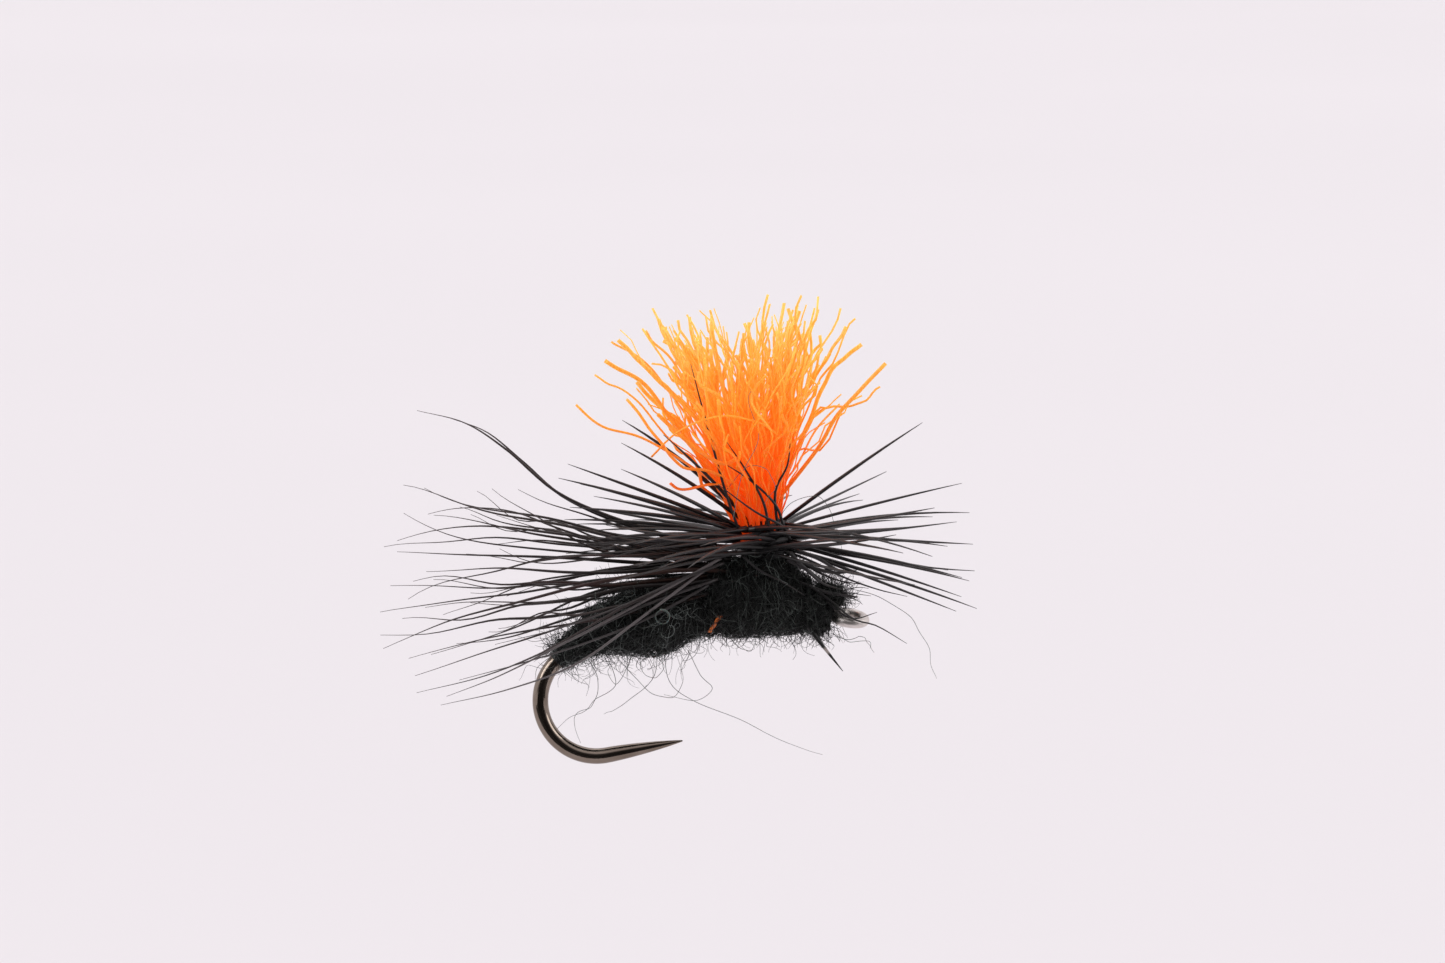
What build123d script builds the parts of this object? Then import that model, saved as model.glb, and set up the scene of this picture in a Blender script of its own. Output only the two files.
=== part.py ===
"""A parachute dry fly on a curved barbless hook, size 12.

Frame, in millimetres: the origin is the centre of the hole in the hook's eye, +X runs from the tail
towards the eye, +Z up the orange post, and -Y is the near side, where the trimmed quill shows.

The hook's wire is laid out from the eye backwards: a straight neck, two arcs of shank, the bend and a
straight point. A place on it is given by s, the distance along the wire behind the eye's ring.
The post stands in a frame of its own, whose origin is its foot on top of the shank.
"""

from build123d import *
import math
import os
import random

# Hook
WIRE_D = 0.53
EYE_WIRE_D = 0.36
EYE_HOLE_D = 0.66
EYE_RING_R = 0.48
EYE_DROOP = 8.0
EYE_ROLL = 12.0
NECK_LENGTH = 1.0
SHANK_ARCS = ((15.44, 23.0), (4.78, 31.0))
BEND_ARC = (1.87, 144.8)
POINT_LENGTH = 2.58
POINT_TIP_D = 0.05

# Thread, as layers on what it is wound round
THREAD_LAYER = 0.05
BINDING_LAYER = 0.10
THREAD_BASE_SPAN = (0.95, 9.75)
HEAD_THREAD_SPAN = (0.13, 0.29)
HEAD_THREAD_D = 0.70
FIT_GAP = 0.005

# Dubbing, as sections square to the wire: (s, height above it, depth below it, half width)
HEAD = (
    (0.30, 0.62, 0.55, 0.60),
    (0.55, 0.90, 0.74, 0.74),
    (0.78, 0.98, 0.62, 0.76),
)
THORAX = (
    (0.98, 1.05, 0.60, 0.82),
    (1.80, 1.42, 0.78, 1.02),
    (2.60, 1.56, 0.86, 1.10),
    (3.40, 1.62, 0.92, 1.06),
    (4.05, 1.60, 0.84, 0.92),
)
ABDOMEN = (
    (4.25, 0.68, 0.86, 0.78),
    (5.00, 0.78, 0.98, 0.92),
    (5.85, 0.95, 1.26, 1.08),
    (6.70, 0.97, 1.20, 1.08),
    (7.60, 0.86, 0.90, 0.90),
    (8.40, 0.62, 0.60, 0.64),
    (9.35, 0.38, 0.36, 0.38),
)

# Post, with heights above its foot; the core's shape is pairs of height and share of POST_D
POST_FOOT = (-2.72, 0.0, 0.70)
POST_LEAN = 4.6
POST_D = 1.20
POST_CORE_SHAPE = ((0.02, 0.92), (1.2, 1.0), (2.3, 1.0), (2.72, 1.06))
POST_SLEEVE_SPAN = (1.30, 2.62)
ROOT_S = 2.26
ROOT_THICKNESS = 0.26
ROOT_WIDTH = 0.62
ROOT_BAND_LENGTH = 0.45
FILAMENT_COUNT = 84
CENTRE_COUNT = 18
FILAMENT_D = 0.09
FILAMENT_LENGTH = 7.0
FILAMENT_LEAN = 22.0
FILAMENT_REAR_LEAN = 12.0
GOLDEN_ANGLE = 137.508
TAG_D = (0.17, 0.13)
TAG_Y = (-0.40, -1.15, -0.72)
TAG_Z = (0.42, 0.30, -0.50)

# Hackle: a quill wound round the post, and the barbs that stand out from it. Each raised barb has an
# azimuth, a slope and a length; the butt and the spike each have a start, a control point and an end.
QUILL_D = 0.22
HACKLE_TURNS = 4.5
HACKLE_PITCH = 0.25
HACKLE_START = 1.46
HUB_R = POST_D / 2 + THREAD_LAYER + QUILL_D + 0.02
BARB_D = 0.13
BARB_TIP_D = 0.03
BARB_LENGTH = 6.0
RAISED_BARBS = ((158, 68, 6.2), (205, 52, 5.4), (190, 36, 6.0), (350, 38, 6.3), (330, 72, 3.2))
BUTT_ROUTE = ((-1.52, -0.34, 0.62), (-1.95, -0.40, 0.72), (-2.02, -0.42, 1.30))
SPIKE_ROUTE = ((-1.40, -0.42, 0.02), (-1.30, -0.66, -0.42), (-0.24, -0.72, -1.70))
SPIKE_D = (0.20, 0.04)

# Long hair that lies back over the abdomen. The fan's slopes run from the highest hair to the lowest,
# group by group; each near hair has the height of its root and how far its tip drops.
HAIR_D = 0.13
HAIR_TIP_D = 0.035
BUTTS_REAR = (-4.74, 1.52)
BUTTS_FRONT = (-3.30, 1.04)
BUTTS_HALF_WIDTH = 0.62
BUTTS_HALF_HEIGHT = 0.36
FAN_SLOPES = (16.0, 5.0, -7.0, -20.0)
HAIR_LENGTH = 10.9
RISING_SLOPES = (30.0, 24.0)
NEAR_HAIRS = ((1.75, 4.2), (1.60, 4.6), (1.45, 3.6))
NEAR_RUN = (-8.9, -1.1)
WING_BAND_X = (-4.25, -3.85)


# ------------------------------------------------------------------ the wire's centreline


def in_plane(degrees):
    """The direction in the hook's plane at an angle from +X towards +Z."""
    return Vector(math.cos(math.radians(degrees)), 0, math.sin(math.radians(degrees)))


def wire_stretches():
    """Radius (None where straight) and length of each stretch, from the eye's ring backwards."""
    curved = [(radius, radius * math.radians(turn)) for radius, turn in SHANK_ARCS + (BEND_ARC,)]
    return [(None, NECK_LENGTH)] + curved + [(None, POINT_LENGTH)]


def stretch_start(index):
    """How far behind the ring a stretch of the wire begins."""
    return sum(length for radius, length in wire_stretches()[:index])


def wire_at(s):
    """Centre of the wire and its backward heading in degrees, s behind the eye's ring."""
    heading = 180.0 - EYE_DROOP
    place = in_plane(-EYE_DROOP) * -EYE_RING_R
    for radius, length in wire_stretches():
        step = min(s, length)
        if radius is None:
            place = place + in_plane(heading) * step
        else:
            turn = math.degrees(step / radius)
            centre = place + in_plane(heading + 90) * radius
            place = centre - in_plane(heading + 90 + turn) * radius
            heading += turn
        s -= step
        if s <= 0:
            break
    return place, heading


def section_plane(s):
    """The plane square to the wire at s: its x runs to the far side, its y out of the gape."""
    place, heading = wire_at(s)
    return Plane(origin=place, x_dir=(0, -1, 0), z_dir=in_plane(heading))


# ------------------------------------------------------------------ solids that many pieces share


def follow_wire(profile, start, end):
    """Carries a flat profile, drawn about the wire's centre, along the wire from start to end."""
    pieces = []
    for index, (radius, length) in enumerate(wire_stretches()):
        first = max(start, stretch_start(index))
        last = min(end, stretch_start(index) + length)
        if last <= first:
            continue
        face = section_plane(first) * profile
        if radius is None:
            pieces.append(extrude(face, last - first))
        else:
            place, heading = wire_at(first)
            pivot = Axis(place + in_plane(heading + 90) * radius, (0, -1, 0))
            pieces.append(revolve(face, pivot, math.degrees((last - first) / radius)))
    return pieces[0] if len(pieces) == 1 else pieces[0].fuse(*pieces[1:])


def rod_on_wire(start, end, diameter):
    """A round rod that follows the wire's centreline."""
    return follow_wire(Circle(diameter / 2), start, end)


def sleeve_on_wire(start, end, inner_d, outer_d):
    """A round sleeve that follows the wire's centreline."""
    return follow_wire(Circle(outer_d / 2) - Circle(inner_d / 2), start, end)


def wound_body(stations):
    """A wound body lofted through ellipses that stand square to the wire."""
    sections = []
    for s, above, below, half_width in stations:
        place = Pos(0, (above - below) / 2)
        sections.append(section_plane(s) * place * Ellipse(half_width, (above + below) / 2))
    return loft(sections)


def carved(body, *tools):
    """A wound body hollowed by the pieces inside it, without the loose crumbs between them."""
    for tool in tools:
        body = (body - tool).solids().sort_by(SortBy.VOLUME)[-1]
    return body


def straight_strand(start, end, root_d, tip_d):
    """A tapered hair that runs straight from start to end."""
    a, b = Vector(start), Vector(end)
    return Solid.make_cone(root_d / 2, tip_d / 2, (b - a).length, Plane(origin=a, z_dir=b - a))


def strand(start, control, end, root_d, tip_d):
    """A tapered hair along the quadratic curve from start to end that leaves towards control."""
    a, c, b = Vector(start), Vector(control), Vector(end)
    side = (c - a).cross(b - c)
    if side.length < 1e-6:
        return straight_strand(a, b, root_d, tip_d)
    rings = []
    for u in (0.0, 0.5, 1.0):
        place = a * (1 - u) ** 2 + c * (2 * u * (1 - u)) + b * u**2
        tangent = (c - a) * (1 - u) + (b - c) * u
        radius = (root_d + (tip_d - root_d) * u) / 2
        rings.append(Wire.make_circle(radius, Plane(origin=place, x_dir=side, z_dir=tangent)))
    return Solid.make_loft(rings)


def on_post(shape):
    """Moves a shape from the post's own frame to its place on the fly."""
    return Location(POST_FOOT, (0, -POST_LEAN, 0)) * shape


def spread(start, end, count):
    """Angles of so many pieces, evenly over a sector."""
    return [start + (end - start) * (i + 0.5) / count for i in range(count)]


# ------------------------------------------------------------------ hook and thread


def eye_frame():
    """The plane of the eye's ring, drooped forward and rolled a little to the near side."""
    return Plane.XY.rotated((0, EYE_DROOP, 0)).rotated((EYE_ROLL, 0, 0))


def hook_shank():
    """The front of the hook: ring with a drilled land, tapered neck and the shank up to the bend."""
    ring = Solid.make_torus(EYE_RING_R, EYE_WIRE_D / 2, eye_frame())
    neck = straight_strand(wire_at(0)[0], wire_at(NECK_LENGTH)[0], EYE_WIRE_D, WIRE_D)
    shank = rod_on_wire(NECK_LENGTH, stretch_start(3), WIRE_D)
    drill_plane = eye_frame().offset(-1.5 * EYE_WIRE_D)
    return ring + neck + shank - Solid.make_cylinder(EYE_HOLE_D / 2, 3 * EYE_WIRE_D, drill_plane)


def hook_bend():
    """The rear of the same wire: the round bend and the needle point."""
    return rod_on_wire(stretch_start(3), stretch_start(4), WIRE_D) + hook_point()


def hook_point():
    """The barbless point: a convex needle that starts at full wire and ends in a tiny flat."""
    outline = []
    for i in range(7):
        u = i / 6
        radius = POINT_TIP_D / 2 + (WIRE_D - POINT_TIP_D) / 2 * (1 - u**1.6) ** 0.9
        outline.append((radius, 0, u * POINT_LENGTH))
    tip = (0, 0, POINT_LENGTH)
    edges = [Line((0, 0, 0), outline[0]), Spline(outline), Line(outline[-1], tip), Line(tip, (0, 0, 0))]
    needle = revolve(make_face(edges), Axis.Z)
    return section_plane(stretch_start(4)).location * needle


def thread_base():
    """The first layer of thread, wound on the whole shank down to the start of the bend."""
    start, end = THREAD_BASE_SPAN
    inner_d = WIRE_D + 2 * FIT_GAP
    return sleeve_on_wire(start, end, inner_d, inner_d + 2 * THREAD_LAYER)


def head_thread():
    """The whip finish on the tapered neck, just behind the eye's ring."""
    start, end = HEAD_THREAD_SPAN
    neck = straight_strand(wire_at(0)[0], wire_at(NECK_LENGTH)[0], EYE_WIRE_D, WIRE_D)
    return rod_on_wire(start, end, HEAD_THREAD_D) - neck


def root_binding():
    """Two bands of thread that lock the yarn's loop, one behind and one before it."""
    inner_d = WIRE_D + 2 * THREAD_LAYER + 4 * FIT_GAP
    bands = []
    for side in (-1, 1):
        middle = ROOT_S + side * (ROOT_WIDTH + ROOT_BAND_LENGTH + 0.04) / 2
        ends = (middle - ROOT_BAND_LENGTH / 2, middle + ROOT_BAND_LENGTH / 2)
        bands.append(sleeve_on_wire(*ends, inner_d, inner_d + 2 * BINDING_LAYER))
    return Compound(bands)


# ------------------------------------------------------------------ post


def post_root():
    """The yarn's loop under the shank; its two legs come up and become the post."""
    plane = section_plane(ROOT_S)
    loop_r = (WIRE_D + ROOT_THICKNESS) / 2 + THREAD_LAYER + 4 * FIT_GAP
    leg_top = 0.30
    loop = CenterArc((0, 0), loop_r, 180, 180)
    legs = [Line((side * loop_r, 0), (side * loop_r, leg_top)) for side in (-1, 1)]
    band = Pos(-loop_r, leg_top) * Rot(90, 0, 0) * Rectangle(ROOT_THICKNESS, ROOT_WIDTH)
    return plane.location * sweep(band, path=Wire(legs[:1] + [loop] + legs[1:]))


def post_core():
    """The tight foot of the post, which opens slightly towards the crown."""
    sections = [Pos(0, 0, height) * Circle(POST_D / 2 * ratio) for height, ratio in POST_CORE_SHAPE]
    return on_post(loft(sections))


def post_binding():
    """The thread sleeve that stiffens the foot of the post and carries the hackle."""
    bottom, top = POST_SLEEVE_SPAN
    inner_r = POST_D / 2 + FIT_GAP
    ring = Circle(inner_r + THREAD_LAYER) - Circle(inner_r)
    return on_post(Pos(0, 0, bottom) * extrude(ring, top - bottom))


def filament(number):
    """One filament; they fill the foot from its middle outwards, and the outer ones lean the most."""
    chance = random.Random(number)
    share = math.sqrt((number + 0.5) / FILAMENT_COUNT)
    outward = Vector(1, 0, 0).rotate(Axis.Z, number * GOLDEN_ANGLE)
    lean = FILAMENT_LEAN + FILAMENT_REAR_LEAN * max(0.0, -outward.X)
    turn = 4 + 2 * lean * share**1.6 * chance.uniform(0.85, 1.1)
    foot = outward * share * (POST_D - FILAMENT_D) / 2 + Vector(0, 0, POST_CORE_SHAPE[-1][0] + 0.01)
    bend_r = FILAMENT_LENGTH * chance.uniform(0.88, 1.04) / math.radians(turn)
    pivot = Axis(foot + outward * bend_r, Vector(0, 0, 1).cross(outward))
    profile = Plane(origin=foot, x_dir=outward, z_dir=(0, 0, 1)) * Circle(FILAMENT_D / 2)
    return revolve(profile, pivot, turn)


def filaments(first, last, sector=(0, 360)):
    """The filaments from one number up to another whose foot lies in a sector, in degrees from +X."""
    start, end = sector
    chosen = [n for n in range(first, last) if (n * GOLDEN_ANGLE - start) % 360 < end - start]
    return on_post(Compound([filament(n) for n in chosen]))


def yarn_tag():
    """The cut end of the yarn, which comes out at the waist and lies on the near side."""
    gap_x = wire_at((THORAX[-1][0] + ABDOMEN[0][0]) / 2)[0].X
    return strand(*[(gap_x, y, z) for y, z in zip(TAG_Y, TAG_Z)], *TAG_D)


# ------------------------------------------------------------------ hackle


def hackle_stem():
    """The bare quill of the hackle feather, wound up the post over its thread sleeve."""
    radius = POST_D / 2 + FIT_GAP + THREAD_LAYER + QUILL_D / 2 + FIT_GAP
    path = Helix(HACKLE_PITCH, HACKLE_PITCH * HACKLE_TURNS, radius)
    profile = Plane(origin=path @ 0, z_dir=path % 0) * Circle(QUILL_D / 2)
    return on_post(Pos(0, 0, HACKLE_START) * sweep(profile, path=path, is_frenet=True))


def barbs(count, sector, rise, seed):
    """Barbs that stand out from the quill over one sector; rise is their least and greatest slope."""
    chance = random.Random(seed)
    hub_height = HACKLE_PITCH * HACKLE_TURNS
    strands = []
    for azimuth in spread(*sector, count):
        outward = Vector(1, 0, 0).rotate(Axis.Z, azimuth + chance.uniform(-3, 3))
        slope = math.radians(chance.uniform(*rise))
        length = BARB_LENGTH * chance.uniform(0.86, 1.08)
        root = outward * HUB_R + Vector(0, 0, HACKLE_START + hub_height * chance.uniform(0.1, 0.9))
        aim = outward * math.cos(slope) + Vector(0, 0, math.sin(slope))
        strands.append(straight_strand(root, root + aim * length, BARB_D, BARB_TIP_D))
    return on_post(Compound(strands))


def hackle_barbs_raised():
    """The few barbs that stand up against the post."""
    strands = []
    for azimuth, slope, length in RAISED_BARBS:
        outward = Vector(1, 0, 0).rotate(Axis.Z, azimuth)
        aim = outward * math.cos(math.radians(slope)) + Vector(0, 0, math.sin(math.radians(slope)))
        root = outward * (HUB_R + 0.08) + Vector(0, 0, HACKLE_START + HACKLE_PITCH * HACKLE_TURNS)
        strands.append(straight_strand(root, root + aim * length, BARB_D, BARB_TIP_D))
    return on_post(Compound(strands))


def hackle_butt():
    """The bare end of the quill, bound down along the top of the shank under the thorax."""
    return strand(*BUTT_ROUTE, QUILL_D, QUILL_D * 0.9)


def quill_spike():
    """The trimmed quill that points down under the head, past its near side."""
    return strand(*SPIKE_ROUTE, *SPIKE_D)


# ------------------------------------------------------------------ long hair


def hairs(slopes, sides, splay, seed):
    """Long hairs fanned back from the butts, one for each slope in degrees.

    sides is how far out their roots lie as a share of the butts' half width, and splay is how much
    they part sideways on the way back. They go to the near and far side in turn.
    """
    chance = random.Random(seed)
    highest, lowest = RISING_SLOPES[0], FAN_SLOPES[-1]
    strands = []
    for i, slope in enumerate(slopes):
        side = chance.uniform(*sides) * (1 if i % 2 else -1)
        lift = (slope - lowest) / (highest - lowest) * 2 - 1
        reach = BUTTS_HALF_WIDTH * math.sqrt(1 - (0.85 * lift) ** 2)
        root = Vector(BUTTS_REAR[0] - 0.01, side * reach, BUTTS_REAR[1] + 0.8 * lift * BUTTS_HALF_HEIGHT)
        run = HAIR_LENGTH * chance.uniform(0.88, 1.05)
        away = Vector(-math.cos(math.radians(slope)), side * splay, math.sin(math.radians(slope)))
        strands.append(straight_strand(root, root + away * run, HAIR_D, HAIR_TIP_D))
    return Compound(strands)


def wing_hair_near():
    """Hairs that cross the near side of the abdomen and end below the others."""
    strands = []
    for height, drop in NEAR_HAIRS:
        root = Vector(BUTTS_REAR[0] + 0.05, -0.98, height)
        strands.append(straight_strand(root, root + Vector(*NEAR_RUN, -drop), HAIR_D, HAIR_TIP_D))
    return Compound(strands)


def wing_butts():
    """The cut butts of the long hair, a flat bundle that runs down to the top of the shank."""
    rear_x, rear_z = BUTTS_REAR
    front_x, front_z = BUTTS_FRONT
    rear = Plane(origin=(rear_x, 0, rear_z), x_dir=(0, 1, 0), z_dir=(1, 0, 0))
    front = Plane(origin=(front_x, 0, front_z), x_dir=(0, 1, 0), z_dir=(1, 0, 0))
    return loft([
        rear * Ellipse(BUTTS_HALF_WIDTH, BUTTS_HALF_HEIGHT),
        front * Ellipse(BUTTS_HALF_WIDTH * 0.6, BUTTS_HALF_HEIGHT * 0.7),
    ])


def binding_outline(layer):
    """A flat oval drum round the shank and the butts, grown by a layer."""
    rear_x, front_x = WING_BAND_X
    share = ((rear_x + front_x) / 2 - BUTTS_REAR[0]) / (BUTTS_FRONT[0] - BUTTS_REAR[0])
    butts_z = BUTTS_REAR[1] + share * (BUTTS_FRONT[1] - BUTTS_REAR[1])
    bottom = wire_at(ROOT_S + 1.4)[0].Z - WIRE_D / 2 - THREAD_LAYER - 0.06
    top = butts_z + BUTTS_HALF_HEIGHT + 0.02
    plane = Plane(origin=(rear_x, 0, (top + bottom) / 2), x_dir=(0, 1, 0), z_dir=(1, 0, 0))
    oval = Ellipse(BUTTS_HALF_WIDTH + 0.04 + layer, (top - bottom) / 2 + layer)
    return extrude(plane * oval, front_x - rear_x)


def wing_binding():
    """The thread band that lashes the butts down to the shank."""
    return binding_outline(BINDING_LAYER) - binding_outline(0)


# ------------------------------------------------------------------ dubbing


def head_dubbing():
    """Fur wound close behind the eye, open round the neck and its thread."""
    start, end = HEAD[0][0] - 0.1, HEAD[-1][0] + 0.1
    return carved(wound_body(HEAD), rod_on_wire(start, end, WIRE_D + 2 * THREAD_LAYER + 4 * FIT_GAP))


def thorax_dubbing():
    """Fur wound round the foot of the post, hollow where the bindings and the butts lie."""
    start, end = THORAX[0][0] - 0.1, THORAX[-1][0] + 0.1
    shank = rod_on_wire(start, end, WIRE_D + 2 * THREAD_LAYER + 2 * BINDING_LAYER + 0.06)
    root_reach = ROOT_WIDTH / 2 + 0.02
    root = rod_on_wire(ROOT_S - root_reach, ROOT_S + root_reach, 1.32)
    foot = on_post(Cylinder(POST_D / 2 + 0.05, 2, align=(Align.CENTER, Align.CENTER, Align.MIN)))
    hub = Cylinder(HUB_R + 0.03, 2, align=(Align.CENTER, Align.CENTER, Align.MIN))
    hub = on_post(Pos(0, 0, POST_SLEEVE_SPAN[0] - 0.02) * hub)
    drum = binding_outline(BINDING_LAYER + 0.02)
    return carved(wound_body(THORAX), shank, root, foot, hub, wing_butts(), drum)


def abdomen_dubbing():
    """Fur wound from the waist back to the bend, thickest halfway."""
    start, end = ABDOMEN[0][0] - 0.1, ABDOMEN[-1][0] + 0.1
    return carved(wound_body(ABDOMEN), rod_on_wire(start, end, WIRE_D + 2 * THREAD_LAYER + 4 * FIT_GAP))


PARTS = {
    "hook_shank": hook_shank,
    "hook_bend": hook_bend,
    "thread_base": thread_base,
    "head_thread": head_thread,
    "root_binding": root_binding,
    "post_root": post_root,
    "post_core": post_core,
    "post_binding": post_binding,
    "post_filaments_centre": lambda: filaments(0, CENTRE_COUNT),
    "post_filaments_front": lambda: filaments(CENTRE_COUNT, FILAMENT_COUNT, (-45, 45)),
    "post_filaments_far": lambda: filaments(CENTRE_COUNT, FILAMENT_COUNT, (45, 135)),
    "post_filaments_rear": lambda: filaments(CENTRE_COUNT, FILAMENT_COUNT, (135, 225)),
    "post_filaments_near": lambda: filaments(CENTRE_COUNT, FILAMENT_COUNT, (225, 315)),
    "yarn_tag": yarn_tag,
    "hackle_stem": hackle_stem,
    "hackle_butt": hackle_butt,
    "quill_spike": quill_spike,
    "hackle_barbs_front": lambda: barbs(20, (-50, 50), (-16, 16), seed=11),
    "hackle_barbs_far": lambda: barbs(16, (50, 130), (-8, 16), seed=12),
    "hackle_barbs_rear": lambda: barbs(20, (130, 230), (0, 24), seed=13),
    "hackle_barbs_near": lambda: barbs(16, (230, 310), (-8, 16), seed=14),
    "hackle_barbs_raised": hackle_barbs_raised,
    "wing_hair_rising": lambda: hairs(RISING_SLOPES, (0.2, 0.6), 0.10, seed=20),
    "wing_hair_upper": lambda: hairs(spread(*FAN_SLOPES[0:2], 10), (0.0, 0.9), 0.16, seed=24),
    "wing_hair_middle": lambda: hairs(spread(*FAN_SLOPES[1:3], 12), (0.0, 0.9), 0.16, seed=22),
    "wing_hair_lower": lambda: hairs(spread(*FAN_SLOPES[2:4], 12), (0.85, 1.0), 0.30, seed=23),
    "wing_hair_near": wing_hair_near,
    "wing_butts": wing_butts,
    "wing_binding": wing_binding,
    "head_dubbing": head_dubbing,
    "thorax_dubbing": thorax_dubbing,
    "abdomen_dubbing": abdomen_dubbing,
}


def main():
    """Builds every piece and writes it to its own file."""
    os.makedirs("parts", exist_ok=True)
    for name, build in PARTS.items():
        export_step(build(), f"parts/{name}.step")


main()
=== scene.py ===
"""Looks of the parachute dry fly: wire, thread, fur, hackle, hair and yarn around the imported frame.

Shapes are worked out in millimetres in the part's own frame and scaled to metres as meshes are made.
"""

import math
import bpy
import numpy as np
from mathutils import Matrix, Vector, noise
from mathutils.bvhtree import BVHTree


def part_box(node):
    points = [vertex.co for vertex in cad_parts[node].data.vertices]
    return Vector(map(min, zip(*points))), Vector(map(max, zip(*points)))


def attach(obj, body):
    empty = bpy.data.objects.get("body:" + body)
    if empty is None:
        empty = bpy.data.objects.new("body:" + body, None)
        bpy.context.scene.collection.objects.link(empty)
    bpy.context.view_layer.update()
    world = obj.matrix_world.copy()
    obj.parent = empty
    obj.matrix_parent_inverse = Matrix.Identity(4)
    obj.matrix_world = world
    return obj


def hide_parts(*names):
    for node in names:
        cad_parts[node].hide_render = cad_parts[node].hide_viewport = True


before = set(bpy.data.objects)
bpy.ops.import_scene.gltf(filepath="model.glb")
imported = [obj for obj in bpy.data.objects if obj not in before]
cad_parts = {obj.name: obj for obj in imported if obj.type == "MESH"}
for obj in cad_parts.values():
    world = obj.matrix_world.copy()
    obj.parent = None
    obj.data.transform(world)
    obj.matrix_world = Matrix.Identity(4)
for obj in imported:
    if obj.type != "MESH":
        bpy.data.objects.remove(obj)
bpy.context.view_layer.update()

MM = 0.001
UP = np.array([0.0, 0.0, 1.0])
POST_LEAN = math.radians(4.6)


# ---- places read from the frame


def node_box(name):
    """A node's lowest and highest corners in millimetres."""
    low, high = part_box(name)
    return np.array(low) / MM, np.array(high) / MM


def middle(name):
    """The middle of a node's box in millimetres."""
    low, high = node_box(name)
    return (low + high) / 2


HUB = middle("hackle_stem")
HUB_HALF_HEIGHT = 0.5
HUB_R = 0.86
POST_AXIS = np.array([-math.sin(POST_LEAN), 0.0, math.cos(POST_LEAN)])
POST_SIDE = np.array([math.cos(POST_LEAN), 0.0, math.sin(POST_LEAN)])
POST_FAR = np.array([0.0, 1.0, 0.0])
POST_R = 0.70
NOTCH_X = -3.9


def at_post(across, deep, height):
    """Points from the post's own frame, whose origin is the middle of the hackle's hub."""
    across, deep, height = np.broadcast_arrays(across, deep, height)
    offsets = across[..., None] * POST_SIDE + deep[..., None] * POST_FAR + height[..., None] * POST_AXIS
    return HUB + offsets


# ---- meshes


def unit(vectors):
    """The same vectors at length one."""
    length = np.linalg.norm(vectors, axis=-1, keepdims=True)
    return vectors / np.maximum(length, 1e-9)


def make_piece(name, verts, faces, material, nodes, attributes=None):
    """A smooth mesh piece from points in millimetres, riding on the fly's one body in place of nodes."""
    mesh = bpy.data.meshes.new(name)
    mesh.from_pydata((np.asarray(verts) * MM).tolist(), [], faces)
    for key, values in (attributes or {}).items():
        layer = mesh.attributes.new(key, "FLOAT", "POINT")
        layer.data.foreach_set("value", np.asarray(values, dtype=np.float32))
    mesh.materials.append(material)
    mesh.shade_smooth()
    mesh.validate()
    piece = bpy.data.objects.new(name, mesh)
    bpy.context.scene.collection.objects.link(piece)
    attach(piece, "root")
    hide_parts(*nodes)


def tubes(paths, radii, sides=6, flatness=1.0, roll=None):
    """Tapered closed tubes round many paths at once.

    paths is (count, points, 3), radii (count, points); flatness under 1 makes ribbons, and roll turns
    each ribbon about its own path. Returns verts, faces and two values per vertex: the place along the
    strand from 0 to 1, and one random shade for the whole strand.
    """
    paths = np.asarray(paths, dtype=float)
    count, points, _ = paths.shape
    tangent = unit(np.gradient(paths, axis=1))
    first = tangent[:, 0]
    helper = np.where(np.abs(first[:, 2:3]) < 0.8, UP, np.array([1.0, 0.0, 0.0]))
    side = np.empty_like(paths)
    side[:, 0] = unit(np.cross(first, helper))
    for i in range(1, points):
        kept = side[:, i - 1] - tangent[:, i] * np.sum(side[:, i - 1] * tangent[:, i], axis=1, keepdims=True)
        side[:, i] = unit(kept)
    over = np.cross(tangent, side)
    if roll is not None:
        c, s = np.cos(roll)[:, None, None], np.sin(roll)[:, None, None]
        side, over = side * c + over * s, over * c - side * s
    angle = 2 * np.pi * np.arange(sides) / sides
    ring = side[:, :, None] * np.cos(angle)[None, None, :, None]
    ring = ring + over[:, :, None] * (np.sin(angle) * flatness)[None, None, :, None]
    verts = paths[:, :, None] + ring * np.asarray(radii)[:, :, None, None]
    index = np.arange(count * points * sides).reshape(count, points, sides)
    here, there = index[:, :-1], index[:, 1:]
    quads = np.stack([here, np.roll(here, -1, 2), np.roll(there, -1, 2), there], axis=-1).reshape(-1, 4)
    faces = quads.tolist() + index[:, 0, ::-1].tolist() + index[:, -1].tolist()
    along = np.broadcast_to(np.linspace(0, 1, points)[None, :, None], index.shape)
    shade = np.random.default_rng(count).random(count)
    shade = np.broadcast_to(shade[:, None, None], index.shape)
    return verts.reshape(-1, 3), faces, along.reshape(-1), shade.reshape(-1)


def strand_piece(name, paths, radii, material, nodes, sides=6, flatness=1.0, roll=None):
    """One piece of many strands."""
    verts, faces, along, shade = tubes(paths, radii, sides, flatness, roll)
    make_piece(name, verts, faces, material, nodes, {"along": along, "shade": shade})


def wrapped_faces(rows, columns):
    """Faces of a skin of rows rolled round into a tube, closed at both ends."""
    index = np.arange(rows * columns).reshape(rows, columns)
    here, there = index[:-1], index[1:]
    quads = np.stack([here, there, np.roll(there, -1, 1), np.roll(here, -1, 1)], -1).reshape(-1, 4)
    return quads.tolist() + [index[0].tolist(), index[-1, ::-1].tolist()]


def bezier(start, lead, pull, end, points):
    """Cubic curves, one per row, with so many points each."""
    t = np.linspace(0, 1, points)[None, :, None]
    start, lead, pull, end = (np.asarray(p, dtype=float)[:, None, :] for p in (start, lead, pull, end))
    return start * (1 - t) ** 3 + 3 * lead * t * (1 - t) ** 2 + 3 * pull * t**2 * (1 - t) + end * t**3


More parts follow.
